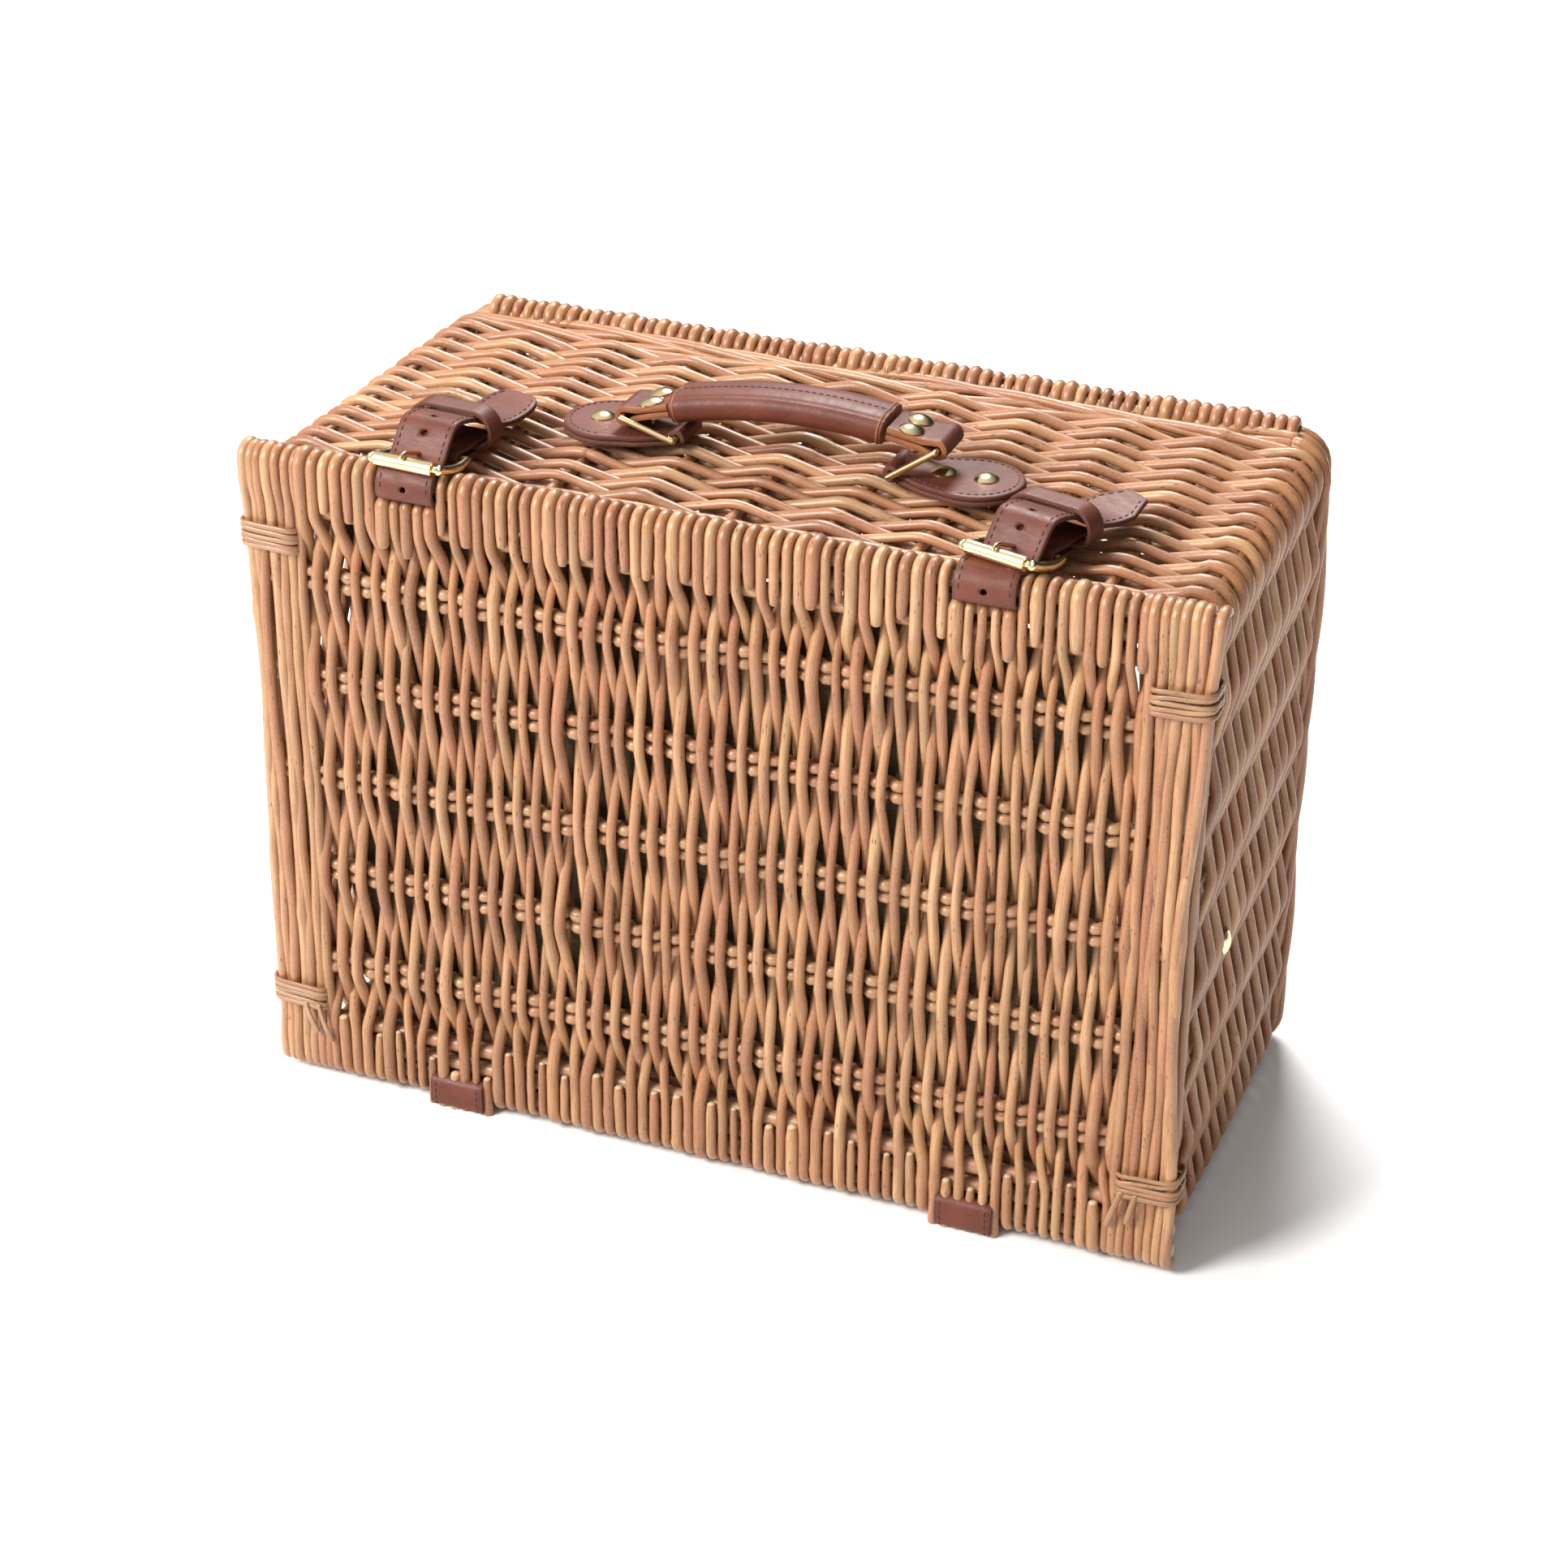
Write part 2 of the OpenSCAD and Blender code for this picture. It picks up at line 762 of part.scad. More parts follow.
module handle_grip() {
    mid = [(bend_left_x + bend_right_x) / 2, 0, (bend_left_z + bend_right_z) / 2];
    color(LEATHER)
        at_handle()
            difference() {
                translate(mid)
                    rotate([0, -grip_tilt, 0])
                        translate([0, 0, grip_arch - grip_r])
                            rotate([90, 0, 0])
                                rotate([0, 0, 90 - grip_half_angle])
                                    rotate_extrude(angle = 2 * grip_half_angle, $fn = 120)
                                        translate([grip_r, 0])
                                            rounded_rect(grip_t, grip_w, 5);
                for (p = [[bend_left_x, bend_left_z], [bend_right_x, bend_right_z]])
                    rod_y(tab_t + 2 * clear_gap, grip_w + 2 * eps, p[0], 0, p[1]);
            }
}

// Folded leather from the bend at the grip to the loop round the ring's bar
module handle_tab(bend_x, bend_z, loop_x, loop_z) {
    reach = norm([loop_x - bend_x, loop_z - bend_z]);
    angle = atan2(loop_z - bend_z, loop_x - bend_x);
    color(LEATHER)
        at_handle()
            translate([bend_x, 0, bend_z])
                rotate([0, -angle, 0])
                    difference() {
                        union() {
                            rod_y(tab_t, tab_w, 0, 0, 0);
                            translate([0, -tab_w / 2, -tab_t / 2])
                                cube([reach, tab_w, tab_t]);
                            rod_y(2 * tab_loop_r, tab_w, reach, 0, 0);
                        }
                        rod_y(2 * tab_bore_r, tab_w + 2 * eps, reach, 0, 0);
                        tab_rivet_holes();
                    }
}

module tab_rivet_places() {
    for (y = [-1, 1])
        translate([tab_rivet_back, y * tab_rivet_spread, tab_t / 2])
            children();
}

module tab_rivet_holes() {
    tab_rivet_places()
        translate([0, 0, -tab_t - eps])
            cylinder(d = rivet_shank_d + bore_gap, h = tab_t + 2 * eps);
}

// For the left tab the local x runs outward to the left, so its top is turned over
module tab_rivets(bend_x, bend_z, loop_x, loop_z) {
    angle = atan2(loop_z - bend_z, loop_x - bend_x);
    color(BRASS)
        at_handle()
            translate([bend_x, 0, bend_z])
                rotate([0, -angle, 0])
                    mirror([0, 0, bend_x < 0 ? 1 : 0])
                        tab_rivet_places()
                            rivet(tab_t);
}

module handle_tab_left() {
    handle_tab(bend_left_x, bend_left_z, ring_left_x, ring_left_z);
}

module handle_tab_right() {
    handle_tab(bend_right_x, bend_right_z, ring_right_x, ring_right_z);
}

module handle_tab_rivets_left() {
    tab_rivets(bend_left_x, bend_left_z, ring_left_x, ring_left_z);
}

module handle_tab_rivets_right() {
    tab_rivets(bend_right_x, bend_right_z, ring_right_x, ring_right_z);
}

// Rectangular wire ring leaning outward from the base plate's loop
module handle_ring(side, angle) {
    span = ring_w + ring_d;
    color(BRASS)
        at_handle()
            translate([side * loop_span / 2, 0, loop_z])
                rotate([0, side > 0 ? -angle : angle - 180, 0]) {
                    for (x = [0, ring_reach]) {
                        rod_y(ring_d, span, x, 0, 0);
                        for (y = [-1, 1])
                            translate([x, y * span / 2, 0])
                                sphere(d = ring_d);
                    }
                    for (y = [-1, 1])
                        rod_x(ring_d, ring_reach, ring_reach / 2, y * span / 2, 0);
                }
}

module handle_ring_left() {
    handle_ring(-1, ring_left_angle);
}

module handle_ring_right() {
    handle_ring(1, ring_right_angle);
}

// Leather plate with a loop at its inner end and a broad round outer end
module base_plate(side) {
    low = loop_z - plate_loop_r;
    color(LEATHER)
        at_handle()
            translate([side * loop_span / 2, 0, 0])
                mirror([side < 0 ? 1 : 0, 0, 0])
                    difference() {
                        union() {
                            rod_y(2 * plate_loop_r, plate_loop_w, 0, 0, loop_z);
                            translate([0, 0, low])
                                linear_extrude(height = plate_t) {
                                    translate([plate_reach, 0])
                                        circle(r = plate_r);
                                    polygon([
                                        [0, plate_loop_w / 2], [0, -plate_loop_w / 2],
                                        [plate_reach - 8, 0.9 - plate_r], [plate_reach, 0.9 - plate_r],
                                        [plate_reach, plate_r - 0.9], [plate_reach - 8, plate_r - 0.9]
                                    ]);
                                }
                        }
                        rod_y(2 * loop_bore_r, ring_w, 0, 0, loop_z);
                        for (x = [plate_rivet_near, plate_rivet_far])
                            translate([x, 0, low - eps])
                                cylinder(d = rivet_shank_d + bore_gap, h = plate_t + 2 * eps);
                    }
}

module handle_base_plate_left() {
    base_plate(-1);
}

module handle_base_plate_right() {
    base_plate(1);
}

// ---- Rivets ----

module base_plate_rivets() {
    stack = loop_z - plate_loop_r - body_top + plate_t;
    color(BRASS)
        plate_rivet_places()
            translate([0, 0, stack])
                rivet(stack + wall_t + washer_t);
}

module washer() {
    difference() {
        cylinder(d = washer_d, h = washer_t);
        translate([0, 0, -eps])
            cylinder(d = rivet_shank_d + bore_gap, h = washer_t + 2 * eps);
    }
}

module base_plate_washers() {
    color(BRASS)
        plate_rivet_places()
            translate([0, 0, -wall_t - washer_t])
                washer();
}

module side_rivets() {
    color(BRASS)
        side_rivet_places()
            rivet(wall_t + washer_t);
}

module side_rivet_washers() {
    color(BRASS)
        side_rivet_places()
            translate([0, 0, -wall_t - washer_t])
                washer();
}

body_walls();
body_base();
body_rim_border();
lid_weave();
lid_stakes();
lid_top_rods();
lid_bottom_rods();
lid_side_rods_left();
lid_side_rods_right();
lid_binding_top_left();
lid_binding_top_right();
lid_binding_bottom_left();
lid_binding_bottom_right();
lid_lining();
hinge_strap_left();
hinge_strap_right();
closure_strap_left();
closure_strap_right();
buckle_frame_left();
buckle_frame_right();
buckle_roller_left();
buckle_roller_right();
buckle_prong_left();
buckle_prong_right();
buckle_chape_left();
buckle_chape_right();
strap_keeper_left();
strap_keeper_right();
handle_grip();
handle_tab_left();
handle_tab_right();
handle_tab_rivets_left();
handle_tab_rivets_right();
handle_ring_left();
handle_ring_right();
handle_base_plate_left();
handle_base_plate_right();
base_plate_rivets();
base_plate_washers();
side_rivets();
side_rivet_washers();
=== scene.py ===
import json
import math

import bpy
import numpy as np
from mathutils import Matrix, Vector

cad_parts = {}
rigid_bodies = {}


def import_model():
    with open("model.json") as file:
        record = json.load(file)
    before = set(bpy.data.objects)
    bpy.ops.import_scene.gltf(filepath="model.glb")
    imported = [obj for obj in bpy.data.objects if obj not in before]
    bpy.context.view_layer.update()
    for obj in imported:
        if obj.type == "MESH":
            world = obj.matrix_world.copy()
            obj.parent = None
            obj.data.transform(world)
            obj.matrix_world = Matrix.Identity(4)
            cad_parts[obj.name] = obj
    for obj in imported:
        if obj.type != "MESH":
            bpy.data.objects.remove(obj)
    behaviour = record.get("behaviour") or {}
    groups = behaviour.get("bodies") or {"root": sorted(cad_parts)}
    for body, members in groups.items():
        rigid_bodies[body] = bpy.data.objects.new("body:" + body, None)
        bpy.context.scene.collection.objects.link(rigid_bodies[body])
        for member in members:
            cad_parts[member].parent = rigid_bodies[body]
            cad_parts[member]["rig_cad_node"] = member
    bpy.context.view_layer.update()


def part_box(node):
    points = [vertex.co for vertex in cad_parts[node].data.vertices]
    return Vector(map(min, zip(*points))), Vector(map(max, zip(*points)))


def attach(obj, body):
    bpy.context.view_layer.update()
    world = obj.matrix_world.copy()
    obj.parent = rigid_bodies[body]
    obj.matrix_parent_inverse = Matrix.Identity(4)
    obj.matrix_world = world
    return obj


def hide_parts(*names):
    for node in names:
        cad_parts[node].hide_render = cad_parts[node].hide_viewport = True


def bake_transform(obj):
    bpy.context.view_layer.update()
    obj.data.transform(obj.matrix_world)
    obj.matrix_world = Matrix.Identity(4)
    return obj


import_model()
rng = np.random.default_rng(41)

# All lengths below are in millimetres and become metres when a mesh is made.
MM = 0.001
X = np.array([1.0, 0.0, 0.0])
Y = np.array([0.0, 1.0, 0.0])
Z = np.array([0.0, 0.0, 1.0])


def box_mm(node):
    low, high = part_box(node)
    return np.array(low) / MM, np.array(high) / MM


def unit(v):
    return v / np.maximum(np.linalg.norm(v, axis=-1, keepdims=True), 1e-9)


def smoothstep(t):
    t = np.clip(t, 0, 1)
    return t * t * (3 - 2 * t)


def travelled(path):
    steps = np.linalg.norm(np.diff(path, axis=0), axis=1)
    return np.concatenate([[0], np.cumsum(steps)])


def resample(path, spacing):
    """The same line with points at even spacing."""
    path = np.asarray(path, float)
    s = travelled(path)
    even = np.linspace(0, s[-1], max(3, int(s[-1] / spacing) + 1))
    return np.stack([np.interp(even, s, path[:, k]) for k in range(3)], 1)


def blurred(values, reach):
    """Moving average over reach samples each way, with the ends held."""
    window = 2 * reach + 1
    padded = np.pad(values, reach, mode="edge")
    return np.convolve(padded, np.ones(window) / window, mode="valid")


def wander(count, scale, step):
    """Slow random drift along a rod, about scale in size, changing over step samples."""
    knots = rng.normal(0, scale, max(4, int(count / step) + 3))
    return np.interp(np.linspace(0, len(knots) - 1, count), np.arange(len(knots)), knots)


# ---- Meshes ----


class Builder:
    """Collects rods, straps and stitches and makes one mesh object of them."""

    def __init__(self):
        self.points, self.tint, self.space, self.cut = [], [], [], []
        self.quads, self.quad_mats, self.fans, self.fan_mats = [], [], [], []
        self.count = 0

    def grid(self, points, tint, space, cut, mats, closed):
        """A skin over rows of points; mats is one material per column of faces."""
        rows, cols = points.shape[:2]
        index = self.count + np.arange(rows * cols).reshape(rows, cols)
        across = np.concatenate([index, index[:, :1]], 1) if closed else index
        faces = np.stack(
            [across[:-1, :-1], across[:-1, 1:], across[1:, 1:], across[1:, :-1]], -1
        )
        self.quads.append(faces.reshape(-1, 4))
        self.quad_mats.append(np.broadcast_to(mats, faces.shape[:2]).reshape(-1))
        self.points.append(points.reshape(-1, 3))
        self.tint.append(np.broadcast_to(tint, (rows, cols)).reshape(-1))
        self.space.append(space.reshape(-1, 3))
        self.cut.append(np.broadcast_to(cut, (rows, cols)).reshape(-1))
        self.count += rows * cols
        return index

    def fan(self, ring, centre, tint, space, cut, mat, flip):
        """Closes a ring of vertices round a centre point."""
        self.points.append(centre[None])
        self.tint.append(np.array([tint]))
        self.space.append(space[None])
        self.cut.append(np.array([cut]))
        following = np.roll(ring, -1)
        pair = (following, ring) if flip else (ring, following)
        middle = np.full(len(ring), self.count)
        self.fans.append(np.stack([pair[0], pair[1], middle], 1))
        self.fan_mats.append(np.full(len(ring), mat))
        self.count += 1

    def tube(self, path, radius, across, tint, sides=8, mat=0, flat=1.0, pale_ends=1.0):
        """A round rod along path with bevelled ends; flat squeezes it along its second axis."""
        path = np.asarray(path, float)
        radius = np.array(np.broadcast_to(radius, len(path)), float)
        tangent = unit(np.gradient(path, axis=0))
        across = np.broadcast_to(across, path.shape)
        tips = 0.3 * radius[[0, -1], None] * tangent[[0, -1]]
        path = np.concatenate([path[:1] - tips[:1], path, path[-1:] + tips[1:]])
        tangent = np.concatenate([tangent[:1], tangent, tangent[-1:]])
        across = np.concatenate([across[:1], across, across[-1:]])
        radius = np.concatenate([radius[:1] * 0.7, radius, radius[-1:] * 0.7])
        u = unit(across - (across * tangent).sum(1, keepdims=True) * tangent)
        v = np.cross(tangent, u)
        angle = 2 * np.pi * np.arange(sides) / sides
        c, s = np.cos(angle)[None, :, None], np.sin(angle)[None, :, None]
        r = radius[:, None, None]
        points = path[:, None] + r * (u[:, None] * c + flat * v[:, None] * s)
        origin = rng.uniform(-400, 400, 3)
        along = travelled(path)[:, None, None] * np.ones((1, sides, 1))
        space = np.concatenate([r * c + 0 * along, r * s + 0 * along, along], 2) + origin
        ends = np.zeros((len(path), 1))
        ends[[0, -1]] = pale_ends
        index = self.grid(points, tint, space, ends, mat, True)
        for row, flip in ((0, True), (-1, False)):
            self.fan(index[row], path[row], tint, space[row].mean(0), pale_ends, mat, flip)

    def ribbon(self, path, across, width, thickness, ends=True, mats=(0, 1, 0), roll=0.42):
        """A strap with rounded edges. mats are its upper face, its edges and its lower face."""
        path = np.asarray(path, float)
        n = len(path)
        tangent = unit(np.gradient(path, axis=0))
        across = np.broadcast_to(across, path.shape)
        across = unit(across - (across * tangent).sum(1, keepdims=True) * tangent)
        normal = np.cross(across, tangent)
        half = thickness / 2
        rounding = half * roll
        w = np.array(np.broadcast_to(width, n), float)[:, None] / 2
        inner = np.linspace(-1, 1, 9)
        upper = np.stack([inner, np.zeros(9), np.full(9, half)], 1)
        right = np.array([
            [1, rounding, half - rounding * 0.35],
            [1, rounding * 1.5, 0.2 * half],
            [1, rounding * 1.5, -0.2 * half],
            [1, rounding, -half + rounding * 0.35],
        ])
        lower = upper[::-1] * [1, 1, -1]
        left = right[::-1] * [-1, -1, 1]
        section = np.concatenate([upper, right, lower, left])
        a = section[None, :, 0] * (w - rounding * 1.5) + section[None, :, 1]
        h = np.broadcast_to(section[None, :, 2], a.shape)
        points = path[:, None] + a[..., None] * across[:, None] + h[..., None] * normal[:, None]
        s = np.broadcast_to(travelled(path)[:, None], a.shape)
        space = np.stack([a, h, s], -1) + rng.uniform(-400, 400)
        edge = np.clip(np.abs(a) / w, 0, 1)
        columns = [mats[0]] * 8 + [mats[1]] * 5 + [mats[2]] * 8 + [mats[1]] * 5
        index = self.grid(points, edge, space, 0.0, np.array(columns), True)
        if ends:
            for row, flip in ((0, True), (-1, False)):
                self.fan(index[row], path[row], 1.0, space[row].mean(0), 0.0, mats[1], flip)
        return path, across, normal

    def stitches(self, path, across, normal, offset, lift, pitch=3.6, mat=2, start=3, stop=3):
        """A row of short thread stitches lying on a strap's face."""
        s = travelled(path)
        for at in np.arange(start, s[-1] - stop - pitch * 0.6, pitch):
            stations = at + np.array([0, 0.22, 0.44, 0.66]) * pitch
            here = np.stack([np.interp(stations, s, path[:, k]) for k in range(3)], 1)
            side = np.stack([np.interp(stations, s, across[:, k]) for k in range(3)], 1)
            up = np.stack([np.interp(stations, s, normal[:, k]) for k in range(3)], 1)
            shift = np.interp(stations, s, np.broadcast_to(offset, len(s)))[:, None]
            rise = (lift + np.array([-0.25, 0.12, 0.12, -0.25]))[:, None]
            self.tube(here + side * shift + up * rise, 0.34, side, 0.5, 5, mat, 1.0, 0.0)

    def build(self, name, materials, sharp=None):
        mesh = bpy.data.meshes.new(name)
        quads = np.concatenate(self.quads) if self.quads else np.zeros((0, 4), int)
        fans = np.concatenate(self.fans) if self.fans else np.zeros((0, 3), int)
        points = np.concatenate(self.points) * MM
        mesh.from_pydata(points.tolist(), [], quads.tolist() + fans.tolist())
        mats = np.concatenate([*self.quad_mats, *self.fan_mats]).astype(np.int32)
        mesh.polygons.foreach_set("material_index", mats)
        mesh.polygons.foreach_set("use_smooth", np.ones(len(mesh.polygons), bool))
        for key, values in (("tint", self.tint), ("cut", self.cut)):
            layer = mesh.attributes.new(key, "FLOAT", "POINT")
            layer.data.foreach_set("value", np.concatenate(values).astype(np.float32))
        layer = mesh.attributes.new("space", "FLOAT_VECTOR", "POINT")
        flat = np.concatenate(self.space).astype(np.float32).reshape(-1)
        layer.data.foreach_set("vector", flat)
        for m in materials:
            mesh.materials.append(m)
        if sharp:
            mesh.set_sharp_from_angle(angle=math.radians(sharp))
        mesh.update()
        obj = bpy.data.objects.new(name, mesh)
        bpy.context.scene.collection.objects.link(obj)
        return obj


def stand_for(obj, body, slot, *nodes):
    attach(obj, body)
    if nodes:
        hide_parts(*nodes)
    return obj


def cut_away(obj, cutters):
    """Takes each cutter out of obj and removes the cutters."""
    for i, cutter in enumerate(cutters):
        step = obj.modifiers.new(f"hole{i}", "BOOLEAN")
        step.operation = "DIFFERENCE"
        step.solver = "EXACT"
        step.object = cutter
    graph = bpy.context.evaluated_depsgraph_get()
    made = bpy.data.meshes.new_from_object(obj.evaluated_get(graph))
    obj.modifiers.clear()
    obj.data = made
    for cutter in cutters:
        bpy.data.objects.remove(cutter, do_unlink=True)


def join(obj, *others):
    """Makes the others part of obj."""
    chosen = [obj, *others]
    with bpy.context.temp_override(active_object=obj, selected_editable_objects=chosen):
        bpy.ops.object.join()


def hole_cutter(centre, axis, diameter, length):
    """A round punch, centred on a point and pointing along an axis."""
    cutter = Builder()
    ends = [centre - unit(axis) * length / 2, centre + unit(axis) * length / 2]
    side = X if abs(axis[0]) < 0.7 else Z
    cutter.tube(np.linspace(ends[0], ends[1], 4), diameter / 2, side, 0.5, 14)
    return cutter.build("cutter", [])


# ---- Materials ----


class Shader:
    def __init__(self, name):
        self.mat = bpy.data.materials.new(name)
        self.mat.use_nodes = True
        self.tree = self.mat.node_tree
        self.surface = self.tree.nodes["Principled BSDF"]

    def add(self, kind, inputs, **settings):
        node = self.tree.nodes.new(kind)
        for key, value in settings.items():
            setattr(node, key, value)
        self.feed(node, inputs)
        return node

    def feed(self, node, inputs):
        for key, value in inputs.items():
            if isinstance(value, bpy.types.NodeSocket):
                self.tree.links.new(value, node.inputs[key])
            else:
                node.inputs[key].default_value = value

    def attribute(self, name, output):
        node = self.add("ShaderNodeAttribute", {}, attribute_name=name)
        return node.outputs[output]

    def scaled(self, vector, scale):
        node = self.add("ShaderNodeMapping", {"Vector": vector, "Scale": scale})
        return node.outputs["Vector"]

    def noise(self, vector, scale, detail=3.0, rough=0.5):
        inputs = {"Vector": vector, "Scale": scale, "Detail": detail, "Roughness": rough}
        return self.add("ShaderNodeTexNoise", inputs).outputs["Fac"]

    def ramp(self, fac, stops):
        node = self.add("ShaderNodeValToRGB", {"Fac": fac})
        band = node.color_ramp
        while len(band.elements) < len(stops):
            band.elements.new(0.5)
        for element, (at, colour) in zip(band.elements, stops):
            element.position = at
            element.color = (*colour, 1)
        return node.outputs["Color"]

    def levels(self, value, low, high, out_low=0.0, out_high=1.0):
        inputs = {
            "Value": value, "From Min": low, "From Max": high,
            "To Min": out_low, "To Max": out_high,
        }
        return self.add("ShaderNodeMapRange", inputs).outputs["Result"]

    def mix(self, fac, a, b, blend="MIX"):
        node = self.add("ShaderNodeMix", {}, data_type="RGBA", blend_type=blend)
        for index, value in ((0, fac), (6, a), (7, b)):
            if isinstance(value, bpy.types.NodeSocket):
                self.tree.links.new(value, node.inputs[index])
            elif index:
                node.inputs[index].default_value = (*value, 1)
            else:
                node.inputs[index].default_value = value
        return node.outputs[2]

    def math(self, operation, a, b):
        node = self.add("ShaderNodeMath", {0: a, 1: b}, operation=operation)
        return node.outputs[0]

    def bump(self, height, strength, distance, under=None):
        inputs = {"Height": height, "Strength": strength, "Distance": distance}
        if under is not None:
            inputs["Normal"] = under
        return self.add("ShaderNodeBump", inputs).outputs["Normal"]


def willow(name, stops, shade=1.0):
    """Peeled willow: each rod its own colour, long streaks, stains, knots and pale cut ends."""
    s = Shader(name)
    space = s.attribute("space", "Vector")
    base = s.ramp(s.attribute("tint", "Fac"), stops)
    streaks = s.noise(s.scaled(space, (1.6, 1.6, 0.05)), 1.0, 4.0, 0.6)
    stains = s.noise(s.scaled(space, (0.12, 0.12, 0.03)), 1.0, 3.0, 0.55)
    hue = s.noise(s.scaled(space, (0.02, 0.02, 0.005)), 1.0, 2.0)
    base = s.mix(s.levels(hue, 0.5, 0.64, 0.0, 0.7), base, (0.33, 0.105, 0.043))
    base = s.mix(s.levels(hue, 0.46, 0.33, 0.0, 0.55), base, (0.40, 0.250, 0.112))
    fine = s.noise(s.scaled(space, (3.0, 3.0, 0.7)), 1.0, 3.0, 0.6)
    colour = s.mix(s.levels(streaks, 0.38, 0.66, 0.0, 0.55), base, (0.21, 0.085, 0.036))
    colour = s.mix(s.levels(stains, 0.48, 0.66, 0.0, 0.7), colour, (0.26, 0.095, 0.042))
    colour = s.mix(s.levels(fine, 0.3, 0.62, 0.22, 0.0), colour, (0.74, 0.50, 0.29))
    specks = s.add(
        "ShaderNodeTexVoronoi", {"Vector": s.scaled(space, (0.55, 0.55, 0.14)), "Scale": 1.0}
    ).outputs["Distance"]
    sparse = s.levels(s.noise(s.scaled(space, (0.05, 0.05, 0.045)), 1.0), 0.5, 0.56)
    spots = s.math("MULTIPLY", s.levels(specks, 0.09, 0.2, 1.0, 0.0), sparse)
    colour = s.mix(s.math("MULTIPLY", spots, 0.8), colour, (0.075, 0.03, 0.015))
    pith = s.ramp(fine, [(0.3, (0.52, 0.36, 0.21)), (0.7, (0.78, 0.62, 0.42))])
    colour = s.mix(s.attribute("cut", "Fac"), colour, pith)
    if shade != 1.0:
        colour = s.mix(1.0, colour, (shade, shade, shade), "MULTIPLY")
    low = s.bump(streaks, 0.35, 0.0006)
    normal = s.bump(fine, 0.2, 0.0003, low)
    normal = s.bump(spots, 0.5, 0.0004, normal)
    rough = s.levels(stains, 0.3, 0.7, 0.33, 0.50)
    s.feed(s.surface, {
        "Base Color": colour, "Roughness": rough, "Normal": normal, "Specular IOR Level": 0.5,
        "Coat Weight": 0.25, "Coat Roughness": 0.2,
    })
    return s.mat


def leather(name, deep, light, wear):
    """Smooth finished leather with fine grain, slow colour drift and darker worn edges."""
    s = Shader(name)
    space = s.attribute("space", "Vector")
    drift = s.noise(s.scaled(space, (0.05, 0.05, 0.05)), 1.0, 4.0, 0.6)
    grain = s.add(
        "ShaderNodeTexVoronoi", {"Vector": s.scaled(space, (1.5, 1.5, 1.5)), "Scale": 1.0}
    ).outputs["Distance"]
    creases = s.noise(s.scaled(space, (0.16, 0.4, 0.5)), 1.0, 5.0, 0.65)
    colour = s.mix(s.levels(drift, 0.3, 0.7), deep, light)
    colour = s.mix(s.levels(creases, 0.58, 0.72, 0.0, 0.35), colour, (0.05, 0.012, 0.008))
    edge = s.levels(s.attribute("tint", "Fac"), 0.86, 1.0, 0.0, 0.75)
    colour = s.mix(edge, colour, wear)
    normal = s.bump(grain, 0.16, 0.0003)
    normal = s.bump(creases, 0.25, 0.0006, normal)
    rough = s.levels(creases, 0.3, 0.7, 0.42, 0.58)
    s.feed(s.surface, {
        "Base Color": colour, "Roughness": rough, "Normal": normal, "Specular IOR Level": 0.36,
    })
    return s.mat


def raw_edge(name, pale, dark):
    """The cut edge of leather: orange-tan fibres with darker burnished layers."""
    s = Shader(name)
    space = s.attribute("space", "Vector")
    layers = s.noise(s.scaled(space, (0.6, 4.0, 0.15)), 1.0, 4.0, 0.6)
    fibre = s.noise(s.scaled(space, (3.0, 3.0, 1.2)), 1.0, 3.0, 0.6)
    colour = s.mix(s.levels(layers, 0.35, 0.65), dark, pale)
    colour = s.mix(s.levels(fibre, 0.5, 0.8, 0.0, 0.5), colour, (0.10, 0.03, 0.012))
    normal = s.bump(fibre, 0.5, 0.0005)
    s.feed(s.surface, {"Base Color": colour, "Roughness": 0.72, "Normal": normal})
    return s.mat


def thread(name, colour_a, colour_b):
    s = Shader(name)
    space = s.attribute("space", "Vector")
    twist = s.noise(s.scaled(space, (4.0, 4.0, 2.0)), 1.0, 2.0)
    colour = s.mix(s.levels(twist, 0.35, 0.65), colour_a, colour_b)
    normal = s.bump(twist, 0.5, 0.0002)
    s.feed(s.surface, {"Base Color": colour, "Roughness": 0.7, "Normal": normal})
    return s.mat


def brass(name):
    """Light gold plate with faint polishing lines, dulled in patches."""
    s = Shader(name)
    place = s.add("ShaderNodeTexCoord", {}).outputs["Object"]
    lines = s.noise(s.scaled(place, (900.0, 4200.0, 4200.0)), 1.0, 3.0, 0.6)
    patches = s.noise(s.scaled(place, (160.0, 160.0, 160.0)), 1.0, 3.0)
    colour = s.mix(s.levels(patches, 0.35, 0.7), (0.93, 0.80, 0.50), (0.80, 0.63, 0.31))
    normal = s.bump(lines, 0.015, 0.0002)
    s.feed(s.surface, {
        "Base Color": colour, "Metallic": 1.0, "Normal": normal,
        "Roughness": s.levels(patches, 0.3, 0.7, 0.14, 0.27),
    })
    return s.mat


